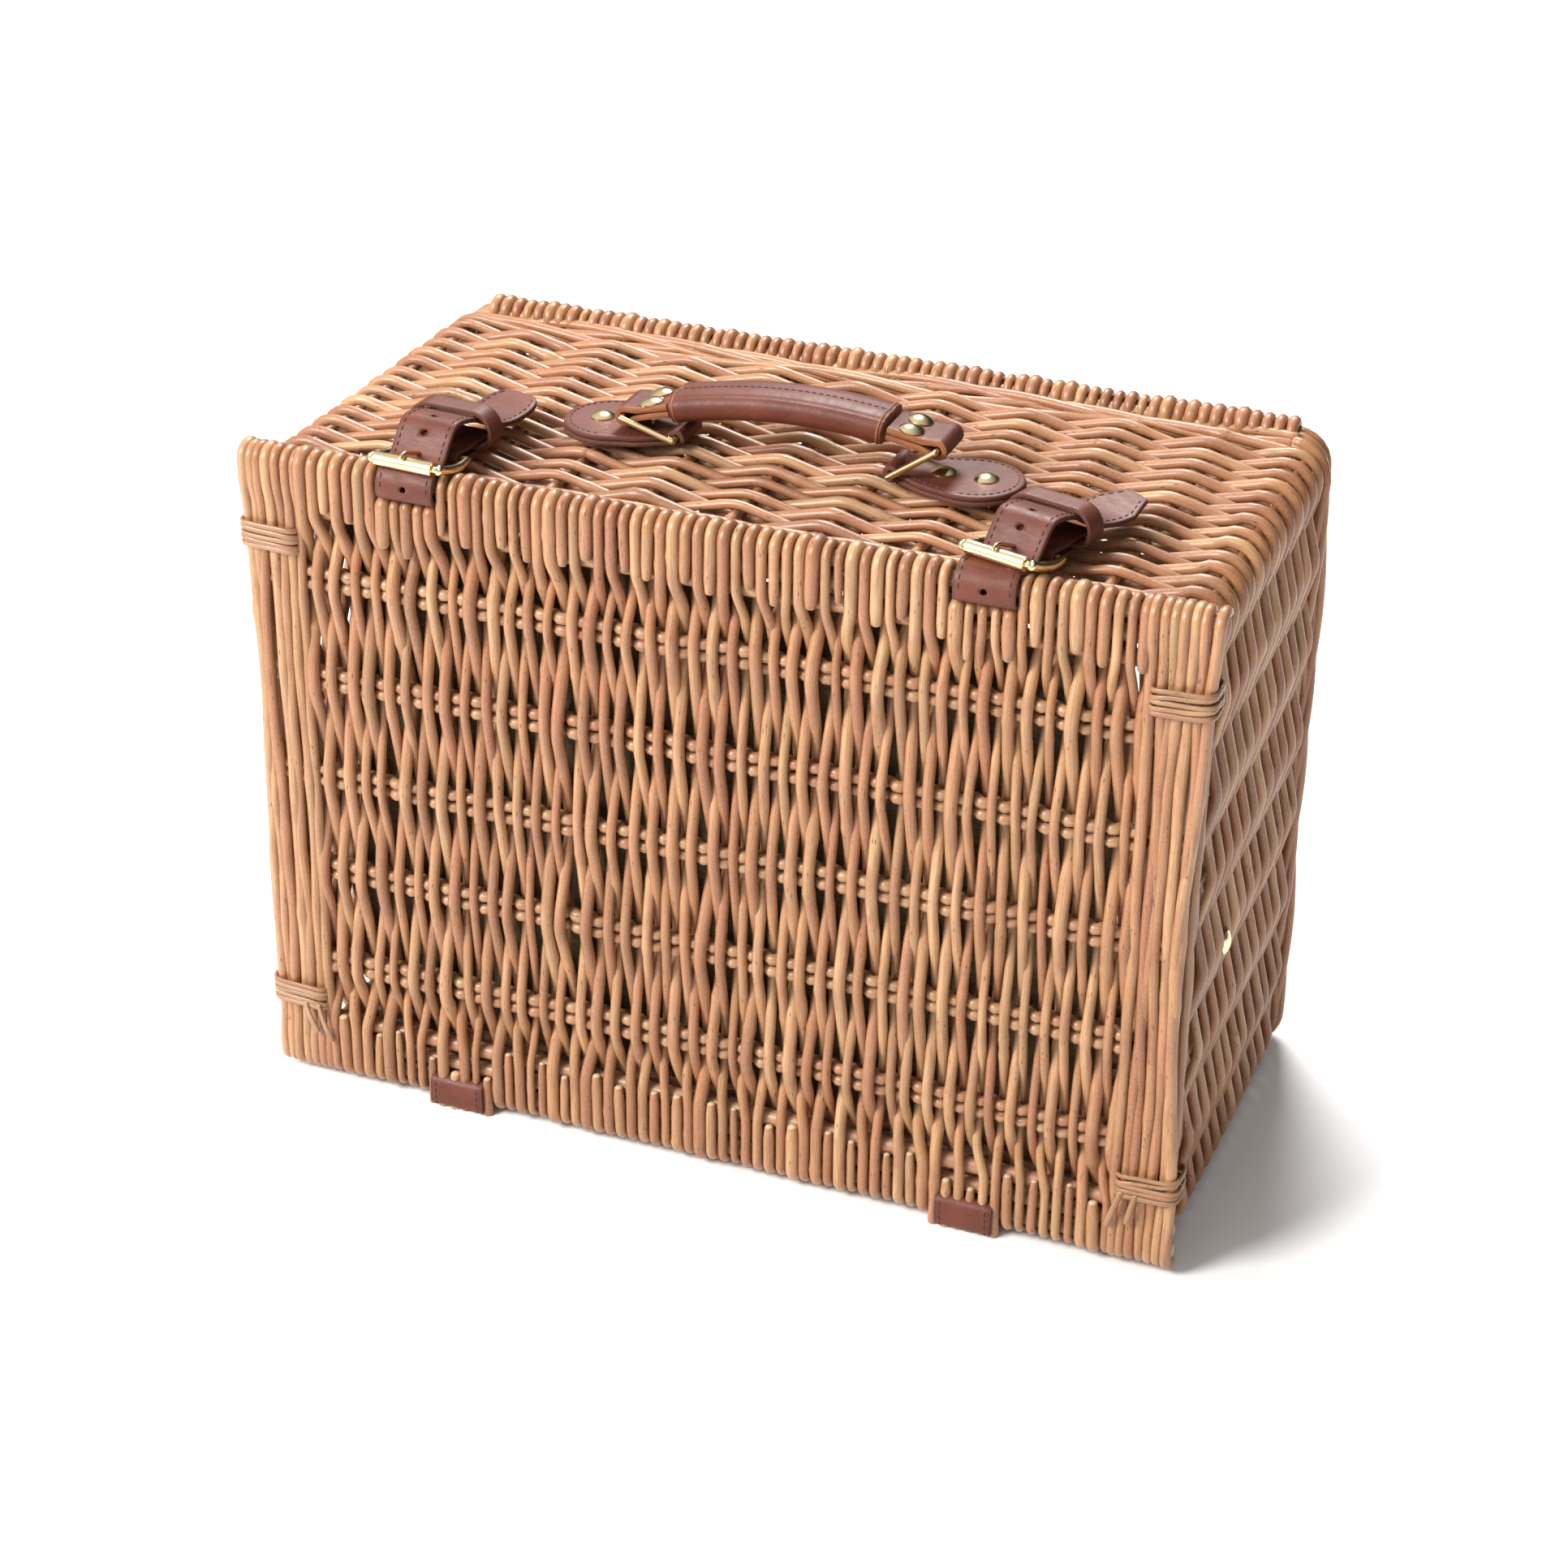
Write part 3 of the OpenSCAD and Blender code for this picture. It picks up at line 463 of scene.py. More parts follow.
def khaki(name):
    """Plain-woven cotton: crossing yarns, slubs and slight fading, with all its colours darkened by
    about half as painted shade for the cloth lying in shadow behind the weave.
    """
    s = Shader(name)
    place = s.add("ShaderNodeTexCoord", {}).outputs["Object"]
    waves = []
    for direction in ("X", "Z"):
        inputs = {"Vector": place, "Scale": 260.0, "Distortion": 0.6, "Detail": 1.0}
        wave = s.add("ShaderNodeTexWave", inputs, bands_direction=direction)
        waves.append(wave.outputs["Fac"])
    yarns = s.math("MULTIPLY", waves[0], waves[1])
    slub = s.noise(s.scaled(place, (60.0, 60.0, 420.0)), 1.0, 4.0, 0.6)
    fade = s.noise(s.scaled(place, (9.0, 9.0, 9.0)), 1.0, 3.0)
    # These yarn colours are about half a khaki's brightness: painted shade for the cloth in shadow
    # behind the lid's weave
    colour = s.mix(s.levels(yarns, 0.0, 0.6), (0.10, 0.066, 0.034), (0.225, 0.158, 0.088))
    colour = s.mix(s.levels(slub, 0.45, 0.75, 0.0, 0.5), colour, (0.28, 0.21, 0.125))
    colour = s.mix(s.levels(fade, 0.35, 0.7, 0.0, 0.3), colour, (0.15, 0.108, 0.062))
    normal = s.bump(yarns, 0.5, 0.0004)
    s.feed(s.surface, {
        "Base Color": colour, "Roughness": 0.92, "Normal": normal, "Specular IOR Level": 0.2,
    })
    return s.mat


TAN = [
    (0.0, (0.20, 0.074, 0.028)),
    (0.3, (0.345, 0.147, 0.058)),
    (0.65, (0.45, 0.218, 0.092)),
    (1.0, (0.60, 0.350, 0.172)),
]
# The walls' ramp: a redder willow, with every stop also darkened by about a tenth as painted shade
# for the shaded right wall; it darkens every wall, the rim and the base alike
WALL_TONE_AND_SHADE = [
    (0.0, (0.19, 0.066, 0.026)),
    (0.35, (0.34, 0.130, 0.052)),
    (0.7, (0.45, 0.198, 0.082)),
    (1.0, (0.58, 0.315, 0.148)),
]
PALE = [
    (0.0, (0.30, 0.145, 0.062)),
    (0.5, (0.42, 0.228, 0.108)),
    (1.0, (0.53, 0.330, 0.175)),
]
willow_lid = willow("willow_lid", TAN)
willow_wall = willow("willow_wall", WALL_TONE_AND_SHADE)
willow_stake = willow("willow_stake", PALE)
willow_skein = willow("willow_skein", PALE, 0.92)
hide = leather("leather_face", (0.098, 0.023, 0.012), (0.154, 0.040, 0.022), (0.05, 0.012, 0.007))
hide_edge = raw_edge("leather_edge", (0.40, 0.145, 0.045), (0.16, 0.05, 0.022))
hide_dark = raw_edge("leather_dark_edge", (0.14, 0.042, 0.024), (0.07, 0.02, 0.012))
hide_thread = thread("leather_thread", (0.05, 0.014, 0.01), (0.10, 0.03, 0.02))
gold = brass("brass_plate")
cotton = khaki("khaki_cotton")
LEATHER = [hide, hide_dark, hide_thread]
LEATHER_RAW = [hide, hide_edge, hide_thread]

# ---- Places taken from the CAD boxes ----

LID_LOW, LID_HIGH = box_mm("lid_weave")
WALL_LOW, WALL_HIGH = box_mm("body_walls")
BASE_LOW, BASE_HIGH = box_mm("body_base")
RIM_LOW, RIM_HIGH = box_mm("body_rim_border")
STAKE_LOW, STAKE_HIGH = box_mm("lid_stakes")
TOP_LOW, TOP_HIGH = box_mm("lid_top_rods")
BOTTOM_LOW, BOTTOM_HIGH = box_mm("lid_bottom_rods")
SIDE_LOW = box_mm("lid_side_rods_left")[0]
lid_mid = (LID_LOW[1] + LID_HIGH[1]) / 2
half_weave = LID_HIGH[0]
half_lid = -SIDE_LOW[0]
band_rod_r = (TOP_HIGH[1] - TOP_LOW[1]) / 2
top_rod_zs = np.linspace(TOP_HIGH[2] - band_rod_r, TOP_LOW[2] + band_rod_r, 3)
bottom_rod_zs = np.linspace(BOTTOM_LOW[2] + band_rod_r, BOTTOM_HIGH[2] - band_rod_r, 3)
stake_r = (STAKE_HIGH[1] - STAKE_LOW[1]) / 2
PAIR_HALF = 3.1
row_zs = np.linspace(
    STAKE_LOW[2] + stake_r + PAIR_HALF, STAKE_HIGH[2] - stake_r - PAIR_HALF, 5
)
hinge_xs = [
    float(sum(box_mm(n)[k][0] for k in (0, 1)) / 2)
    for n in ("hinge_strap_left", "hinge_strap_right")
]
body_top = WALL_HIGH[2]


def rod_tint(mean=0.55, spread=0.24):
    return float(np.clip(rng.normal(mean, spread), 0, 1))


def rod_radius(base, count, swing=0.12):
    """A natural rod: a steady taper with a few slight swellings at old buds."""
    taper = 1 + rng.uniform(-swing, swing) * np.linspace(-1, 1, count)
    radius = base * taper * (1 + wander(count, 0.025, 9))
    for at in rng.integers(0, count, max(1, count // 45)):
        radius *= 1 + 0.16 * np.exp(-(((np.arange(count) - at) / 1.1) ** 2))
    return radius


# ---- The woven panel used for the lid and for the base ----


def panel_rows(mid_y, facing, rows, half_width, half_woven, pitch, radius, spread, into):
    """The level stakes, in pairs: each bows out wherever a weaver passes behind it."""
    count = int(2 * half_width / 1.6)
    spacing = 2 * half_woven / round(2 * half_woven / pitch)
    for k, z in enumerate(rows):
        for side in (-1, 1):
            xs = np.linspace(-half_width, half_width, count)
            bow = 1.9 * (-1) ** k * np.cos(np.pi * (xs + half_woven) / spacing)
            ys = mid_y + facing * bow + wander(count, 0.15, 30)
            zs = z + side * spread + wander(count, 0.4, 14)
            path = np.stack([xs, ys, zs], 1)
            into.tube(path, rod_radius(radius, count, 0.08), Z, rod_tint(0.6, 0.2), 8)


def turn_over(path_side, z_turn, reach, rise, x, up):
    """The half turn of a weaver round the band's outer rod, from one face to the other."""
    angle = np.linspace(0.12, np.pi - 0.12, 9)
    ys = path_side * reach * np.cos(angle)
    zs = z_turn + up * rise * np.sin(angle)
    return np.stack([np.full(9, x), ys, zs], 1)


def band_places(columns, short_share, left, right):
    """Which columns show in a band, and where they sit once they are packed together."""
    turns = (columns // 2 + rng.integers(0, 3)) % 3
    shown = (columns % 2 == 0) | (turns < 3 * short_share - 0.5)
    places = np.full(len(columns), np.nan)
    places[shown] = np.linspace(left, right, shown.sum())
    return shown, places


def woven_panel(into, mid_y, facing, left, right, pitch, rows, ends, radius, row_r):
    """Upright weavers in plain weave. ends gives, for bottom and top, the band's reach, its
    rise, the turn's height, how far the returned ends run, and the strap gaps."""
    count = int(round((right - left) / pitch)) + 1
    columns = np.arange(count)
    xs = np.linspace(left, right, count)
    seats = [band_places(columns, 0.66, left, right) for _ in ends]
    zs = np.arange(ends[0]["turn"], ends[1]["turn"] + 1, 2.5)
    for i in columns:
        front = i % 2 == 0
        r0 = radius * rng.uniform(0.80, 1.16)
        sides = [1 if front else -1]
        knots_z, knots_d = [ends[0]["turn"], ends[0]["turn"] + ends[0]["band"]], []
        knots_d += [sides[0] * ends[0]["reach"]] * 2
        for k, z in enumerate(rows):
            side = -1 if (i + k) % 2 == 0 else 1
            depth = side * (row_r + r0 * 0.92)
            knots_z += [z - 4.5, z + 4.5]
            knots_d += [depth, depth]
        knots_z += [ends[1]["turn"] - ends[1]["band"], ends[1]["turn"]]
        knots_d += [sides[0] * ends[1]["reach"]] * 2
        depth = blurred(np.interp(zs, knots_z, knots_d), 1)
        leans = rng.normal(0, 1.0, len(knots_z) // 2 + 1)
        x_line = xs[i] + blurred(np.interp(zs, knots_z[::2] + knots_z[-1:], leans), 1)
        for (shown, places), end, up in zip(seats, ends, (-1, 1)):
            if shown[i]:
                near = smoothstep(1 - np.abs(zs - end["turn"]) / (end["band"] + 22))
                near = smoothstep(near * 1.6)
                x_line = x_line * (1 - near) + places[i] * near
        path = np.stack([x_line, depth, zs], 1)
        parts, tapers = [path], [np.ones(len(path))]
        for (shown, places), end, up in zip(seats, ends, (-1, 1)):
            x_end = places[i] if shown[i] else xs[i]
            gap = any(abs(x_end - g) < end["gap_half"] for g in end["gaps"])
            turn = end["turn"] - up * (end["gap_drop"] if gap else 0)
            body = parts[0] if up < 0 else parts[-1]
            keep = (body[:, 2] * up) <= turn * up
            if up < 0:
                parts[0], tapers[0] = body[keep], tapers[0][keep]
            else:
                parts[-1], tapers[-1] = body[keep], tapers[-1][keep]
            if not shown[i]:
                continue
            rise = end["gap_rise"] if gap else end["rise"]
            over = turn_over(sides[0], turn, end["reach"], rise, x_end, up)
            short = rng.uniform(*end["back" if front else "front"])
            drop = np.linspace(0.5, short, max(3, int(short / 2.6)))
            back = np.full(len(drop), -sides[0] * end["reach"])
            lean = x_end + rng.normal(0, 0.5) * drop / short
            tail = np.stack([lean, back, turn - up * drop], 1)
            loop = np.concatenate([over, tail])
            thin = np.ones(len(loop))
            if not front:
                thin[-3:] *= np.linspace(1.0, end["tip"], 3)
            if up < 0:
                parts.insert(0, loop[::-1])
                tapers.insert(0, thin[::-1])
            else:
                parts.append(loop)
                tapers.append(thin)
        path, taper = np.concatenate(parts), np.concatenate(tapers)
        path[:, 1] = mid_y + facing * path[:, 1]
        tint = rod_tint(0.58, 0.23)
        into.tube(path, rod_radius(r0, len(path), 0.17) * taper, X, tint, 9)


def panel_end(turn, reach, band, rise, gaps, drop, gap_rise, back, front, tip):
    return {
        "turn": turn, "reach": reach, "band": band, "rise": rise, "gaps": gaps,
        "gap_half": 15.6, "gap_drop": drop, "gap_rise": gap_rise, "back": back,
        "front": front, "tip": tip,
    }


# ---- Lid ----

closure_xs = [
    float(box_mm("closure_strap_left")[0][0] + 14.0),
    float(box_mm("closure_strap_right")[0][0] + 14.0),
]
LID_WEAVER_R = 2.62
LID_PITCH = 4.86
lid_reach = band_rod_r + 1.9
lid_ends = [
    panel_end(bottom_rod_zs[0], lid_reach, 24, lid_reach, hinge_xs, -12.5, 2.6,
              (8, 15), (20, 27), 0.75),
    panel_end(top_rod_zs[0], lid_reach, 24, lid_reach, closure_xs, 11.5, 2.8,
              (8, 15), (17, 26), 0.8),
]
weave = Builder()
woven_panel(weave, lid_mid, -1, -half_weave + 2.5, half_weave - 2.5, LID_PITCH, row_zs,
            lid_ends, LID_WEAVER_R, stake_r)
stand_for(weave.build("lid_weavers", [willow_lid]), "lid", "willow_weave", "lid_weave")

stakes = Builder()
panel_rows(lid_mid, -1, row_zs, half_lid - 9, half_weave - 2.5, LID_PITCH,
           stake_r + 0.45, PAIR_HALF, stakes)
stand_for(stakes.build("lid_stake_pairs", [willow_stake]), "lid", "willow_rod", "lid_stakes")

for name, zs, node in (
    ("lid_upper_rods", top_rod_zs, "lid_top_rods"),
    ("lid_lower_rods", bottom_rod_zs, "lid_bottom_rods"),
):
    rods = Builder()
    for z in zs:
        xs = np.linspace(TOP_LOW[0] + rng.uniform(0, 3), TOP_HIGH[0] - rng.uniform(0, 3), 50)
        path = np.stack([xs, np.full(50, lid_mid), z + wander(50, 0.12, 12)], 1)
        rods.tube(path, rod_radius(band_rod_r - 0.1, 50, 0.03), Z, rod_tint(0.7, 0.1), 12)
    stand_for(rods.build(name, [willow_stake]), "lid", "willow_rod", node)


def side_bundle(side, node):
    """Upright rods at one side of the lid: bowed, crossing, some turned over the top edge."""
    bundle = Builder()
    inner, outer = half_weave + 0.6, half_lid - 2.4
    zs = np.arange(bottom_rod_zs[0], top_rod_zs[0] + 1, 4.0)
    for face, count in ((-1, 7), (1, 6)):
        places = np.linspace(inner, outer, 7)[:count] + (0 if face < 0 else 2.1)
        order = rng.permutation(count)
        for k, place in enumerate(places):
            r0 = rng.uniform(2.35, 2.8)
            mid_place = places[order[k]] * 0.55 + place * 0.45 if k else place - 0.6
            bow = 0.6 * np.exp(-(((zs - rng.uniform(120, 220)) / 80) ** 2))
            x = place * (1 - bow) + mid_place * bow + wander(len(zs), 0.5, 12)
            x += 1.6 * smoothstep((zs - 285) / 40) * (place - inner) / (outer - inner)
            near_band = np.maximum(
                smoothstep((zs - top_rod_zs[2]) / 14), smoothstep((bottom_rod_zs[2] - zs) / 14)
            )
            depth = (stake_r + r0 - 0.1) * (1 - near_band) + lid_reach * near_band
            depth = depth - 1.1 * (1 - near_band) * np.abs(np.sin(zs / 21 + 1.7 * k))
            path = np.stack([side * x, face * depth, zs], 1)
            if face < 0:
                over = turn_over(-1, top_rod_zs[0], lid_reach, lid_reach, side * x[-1], 1)
                under = turn_over(-1, bottom_rod_zs[0], lid_reach, lid_reach, side * x[0], -1)
                path = np.concatenate([under[::-1][3:], path[1:-1], over[:-2]])
            path[:, 1] += lid_mid
            bundle.tube(path, rod_radius(r0, len(path), 0.12), X, rod_tint(0.6, 0.2), 9)
    name = node.replace("lid_side_rods", "lid_bundle")
    stand_for(bundle.build(name, [willow_lid]), "lid", "willow_rod", node)


side_bundle(-1, "lid_side_rods_left")
side_bundle(1, "lid_side_rods_right")


def binding(node, side, at_top):
    """Split willow wound round a bundle in slightly slanted turns."""
    low, high = box_mm(node)
    skein = Builder()
    turns = 5
    middle = (low + high) / 2
    half = (high - low) / 2 - 0.6
    pitch = (high[2] - low[2]) / turns
    angle = np.linspace(0, 2 * np.pi, 49)
    for t in range(turns):
        c, s = np.cos(angle), np.sin(angle)
        squareness = 0.34
        px = middle[0] + half[0] * np.sign(c) * np.abs(c) ** squareness
        py = middle[1] + half[1] * np.sign(s) * np.abs(s) ** (squareness * 1.3)
        slant = rng.uniform(1.2, 3.0) * side * (1 if t % 2 else 0.5)
        pz = low[2] + pitch * (t + 0.5) + slant * c + wander(49, 0.2, 8)
        loop = resample(np.stack([px, py, pz], 1), 2.2)
        loop[:, 2] = blurred(loop[:, 2], 2)
        size = rng.uniform(0.92, 1.12) * pitch / 2
        skein.tube(loop, rod_radius(size, len(loop), 0.1), Z, rod_tint(0.4, 0.25), 8, 0, 0.62)
    if not at_top:
        for k in range(2):
            start = np.array([middle[0] - side * (4 + 7 * k), low[1] + 0.2, low[2] + 2.5])
            end = start + np.array([-side * rng.uniform(3, 7), -0.4, -rng.uniform(13, 19)])
            loose = np.linspace(start, end, 9)
            loose[:, 1] -= 0.9 * np.sin(np.linspace(0, np.pi, 9))
            skein.tube(loose, 1.5, Z, rod_tint(0.45, 0.2), 8, 0, 0.6)
    name = node.replace("binding", "skein")
    stand_for(skein.build(name, [willow_skein]), "lid", "willow_skein", node)


for at_top in (True, False):
    for side, word in ((-1, "left"), (1, "right")):
        binding(f"lid_binding_{'top' if at_top else 'bottom'}_{word}", side, at_top)

# ---- Body ----


def rounded_loop(half_w, low, high, radius, spacing=2.7):
    """Points round a rectangle with round corners, with outward directions, in x and z."""
    pieces = []
    corners = [
        (half_w - radius, high - radius, 90), (half_w - radius, low + radius, 0),
        (-half_w + radius, low + radius, -90), (-half_w + radius, high - radius, -180),
    ]
    for cx, cz, start in corners:
        angle = np.radians(start - np.linspace(0, 90, 14))
        pieces.append(np.stack([cx + radius * np.cos(angle), cz + radius * np.sin(angle)], 1))
    line = np.concatenate([*pieces, pieces[0][:1]])
    flat = np.stack([line[:, 0], np.zeros(len(line)), line[:, 1]], 1)
    flat = resample(flat, spacing)
    tangent = unit(np.gradient(flat, axis=0))
    outward = np.cross(tangent, Y)
    middle = np.array([0, 0, (low + high) / 2])
    outward *= np.sign(((flat - middle) * outward).sum(1, keepdims=True))
    return flat, outward


wall_half = WALL_HIGH[0]
corner_r = 24.0
wall_t = 15.0
mid_in = wall_t / 2
TURN_R = 12.5
loop, outward = rounded_loop(
    wall_half - mid_in + 1.2, WALL_LOW[2] + mid_in, body_top - mid_in, TURN_R
)
lap = travelled(loop)
STAKE_R = 2.5
WEAVER_R = 2.5


def lap_of(x, z):
    """Distance round the loop of its point nearest to a place."""
    return lap[np.argmin((loop[:, 0] - x) ** 2 + (loop[:, 2] - z) ** 2)]


# Stakes: one in each corner, the rest evenly along the walls between, an even number in all
corner_laps = []
inset = TURN_R * (1 - math.sqrt(0.5))
for sx, z in ((1, body_top - mid_in - inset), (1, mid_in + inset),
              (-1, mid_in + inset), (-1, body_top - mid_in - inset)):
    corner_laps.append(lap_of(sx * (wall_half - mid_in - inset), z))
corner_laps = sorted(corner_laps)
stake_laps = []
for a, b in zip(corner_laps, corner_laps[1:] + [corner_laps[0] + lap[-1]]):
    spaces = 10 if b - a > 380 else 7
    stake_laps += [a + (b - a) * k / spaces for k in range(spaces)]
stake_laps = np.array(stake_laps)


def round_the_body(y, depth_at, radius, tint, into, sides=9, drift=0.5):
    """One weaver all the way round, depth_at giving how far out it stands over the lap."""
    n = len(loop)
    path = loop + outward * blurred(depth_at(lap), 1)[:, None]
    path[:, 1] = y + wander(n, drift, 16)
    start = rng.integers(0, n - 1)
    around = np.concatenate([path[start:-1], path[:start], path[start:start + 2]])
    into.tube(around, rod_radius(radius, len(around), 0.05), Y, tint, sides)


def plain_depth(parity, amplitude):
    """Out over every second stake and in behind the ones between."""
    ks = np.concatenate([stake_laps[-1:] - lap[-1], stake_laps, stake_laps[:1] + lap[-1]])
    sign = np.array([1 if (k + parity) % 2 == 0 else -1 for k in range(-1, len(stake_laps) + 1)])
    at = np.concatenate([[k - 1.5, k + 1.5] for k in ks])
    value = np.repeat(sign * amplitude, 2)
    return lambda s: np.interp(s, at, value)


walls = Builder()
rear_room = 15.0
front_y, rear_y = WALL_LOW[1], WALL_HIGH[1]
rounds = int((rear_y - rear_room - front_y - 3) / 6.45)
ys = np.linspace(front_y + 3.0, rear_y - rear_room, rounds)
for k, y in enumerate(ys):
    r = WEAVER_R * rng.uniform(0.86, 1.12)
    round_the_body(y, plain_depth(k, STAKE_R + r * 1.02), r, rod_tint(0.5, 0.26), walls)

# The waling: long rods behind the plain weave that cross one another in slow waves
for k in range(4):
    phase = 2 * np.pi * k / 4
    turns = len(stake_laps) / 4
    swing = 2 * np.pi * turns / lap[-1]

    def wale(s, phase=phase, swing=swing):
        return 2.6 + 2.4 * np.sin(s * swing + phase)

    base_y = rear_y - rear_room + 5.2 + 2.6 * k
    n = len(loop)
    path = loop + outward * blurred(wale(lap), 1)[:, None]
    path[:, 1] = base_y + 2.9 * np.sin(lap * swing + phase + 1.1) + wander(n, 0.4, 20)
    walls.tube(path, rod_radius(2.35, n, 0.08), Y, rod_tint(0.7, 0.15), 9)

for at in stake_laps:
    index = int(np.argmin(np.abs(lap - at % lap[-1])))
    ys = np.linspace(front_y - 6, BASE_LOW[1] + 2, 40)
    path = np.repeat(loop[index][None], 40, 0)
    path[:, 1] = ys
    path += outward[index] * wander(40, 0.2, 8)[:, None]
    walls.tube(path, rod_radius(STAKE_R, 40, 0.08), X, rod_tint(0.6, 0.15), 8)
stand_for(walls.build("wall_weavers", [willow_wall]), "basket", "willow_weave", "body_walls")

# The rolled border: stout rods laid round the mouth like a rope
rim_mid = (RIM_LOW[1] + RIM_HIGH[1]) / 2
rim_loop, rim_out = rounded_loop(
    RIM_HIGH[0] - 6, RIM_LOW[2] + 6, RIM_HIGH[2] - 6, corner_r - 9, 4.0
)
rim_lap = travelled(rim_loop)
border = Builder()
for k in range(4):
    turn = 2 * np.pi * (k / 4 + np.round(rim_lap[-1] / 150) * rim_lap / rim_lap[-1])
    path = rim_loop + rim_out * (3.0 * np.cos(turn) + 0.6)[:, None]
    path[:, 1] = rim_mid + 3.1 * np.sin(turn)
    border.tube(path, rod_radius(3.0, len(path), 0.05), Y, rod_tint(0.5, 0.2), 10)
stand_for(border.build("rim_rods", [willow_wall]), "basket", "willow_rod", "body_rim_border")

# The base panel at the back: upright weavers lapped over two rods that run on round the corners
base = Builder()
base_mid = (BASE_LOW[1] + BASE_HIGH[1]) / 2
base_reach = 5.1
frame_in = 6.6
frame_loop = rounded_loop(
    wall_half - frame_in, WALL_LOW[2] + frame_in, body_top - frame_in + 2.4, TURN_R + 2, 4.0
)[0]
for k, offset in enumerate((-3.0, 2.6)):
    path = frame_loop.copy()
    path[:, 1] = base_mid + offset + wander(len(path), 0.3, 18)
    base.tube(path, rod_radius(3.3, len(path), 0.04), Y, rod_tint(0.5, 0.15), 10)
base_ends = [
    panel_end(WALL_LOW[2] + frame_in, base_reach, 14, 4.6, [], 0, 0, (9, 16), (18, 26), 0.8),
    panel_end(body_top - frame_in + 3.6, base_reach, 14, 4.6, [], 0, 0, (9, 16), (18, 26), 0.8),
]
base_rows = np.linspace(58, body_top - 58, 5)
half_base = wall_half - corner_r + 2
woven_panel(base, base_mid, 1, -half_base, half_base, 5.0, base_rows, base_ends, 2.82, 2.2)
panel_rows(base_mid, 1, base_rows, wall_half - 9, half_base, 5.0, 2.5, 2.9, base)
for side in (-1, 1):
    for k in range(4):
        x = side * (half_base + 4.0 + 4.3 * k)
        zs = np.linspace(14 + 3 * k, body_top - 14 - 3 * k, 70)
        ys = base_mid + (-1) ** k * 3.2 + wander(70, 0.4, 10)
        path = np.stack([x + wander(70, 0.4, 12), ys, zs], 1)
        base.tube(path, rod_radius(2.4, 70, 0.1), X, rod_tint(0.5, 0.2), 8)
stand_for(base.build("base_weavers", [willow_wall]), "basket", "willow_weave", "body_base")

# ---- Hinge straps ----

for side, word in enumerate(("left", "right")):
    low, high = box_mm(f"hinge_strap_{word}")
    thick = 2.4
    half_t = thick / 2
    y0, y1 = low[1] + half_t, high[1] - half_t
    z0, z1 = low[2] + half_t, high[2] - half_t
    bend = 3.0
    outline = []
    for cy, cz, start in ((y1 - bend, z0 + bend, -90), (y1 - bend, z1 - bend, 0),
                          (y0 + bend, z1 - bend, 90), (y0 + bend, z0 + bend, 180)):
        for a in np.radians(start + np.linspace(0, 90, 7)):
            outline.append([hinge_xs[side], cy + bend * math.cos(a), cz + bend * math.sin(a)])
    outline.append(outline[0])
    path = resample(outline, 1.6)
    strap = Builder()
    line = strap.ribbon(path, -X, high[0] - low[0], thick, False)
    for offset in (-11, 11):
        strap.stitches(*line, offset, half_t, start=1, stop=1)
    obj = strap.build(f"hinge_leather_{word}", LEATHER, 50)
    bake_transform(obj)
    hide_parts(f"hinge_strap_{word}")

# ---- Closures ----

REACH = 25.0
SPAN = 34.0
REAR_Z = 4.16
CLOSURES = {
    "left": {"yaw": 4.0, "setback": 0.0, "roller": 8.4, "bend": 12.0},
    "right": {"yaw": 15.0, "setback": 7.0, "roller": 10.2, "bend": 20.0},
}


def closure_frame(word):
    """Origin, across and back directions of a closure, from the roller's CAD box."""
    fact = CLOSURES[word]
    low, high = box_mm(f"buckle_roller_{word}")
    yaw = math.radians(fact["yaw"])
    across = np.array([math.cos(yaw), -math.sin(yaw), 0])
    back = np.array([math.sin(yaw), math.cos(yaw), 0])
    origin = (low + high) / 2 - back * (fact["setback"] + 0.6) - Z * fact["roller"]
    return origin, across, back


def strap_height(y):
    """Height of the strap's middle over the distance behind the roller's line."""
    rise = 5.3 + 15 * smoothstep((y - 8) / 16.6)
    fall = 20.3 - 16.9 * smoothstep((y - 24.6) / 56.0) + 7 * smoothstep((y - 54) / 40)
    return np.where(y < 24.6, rise, fall)


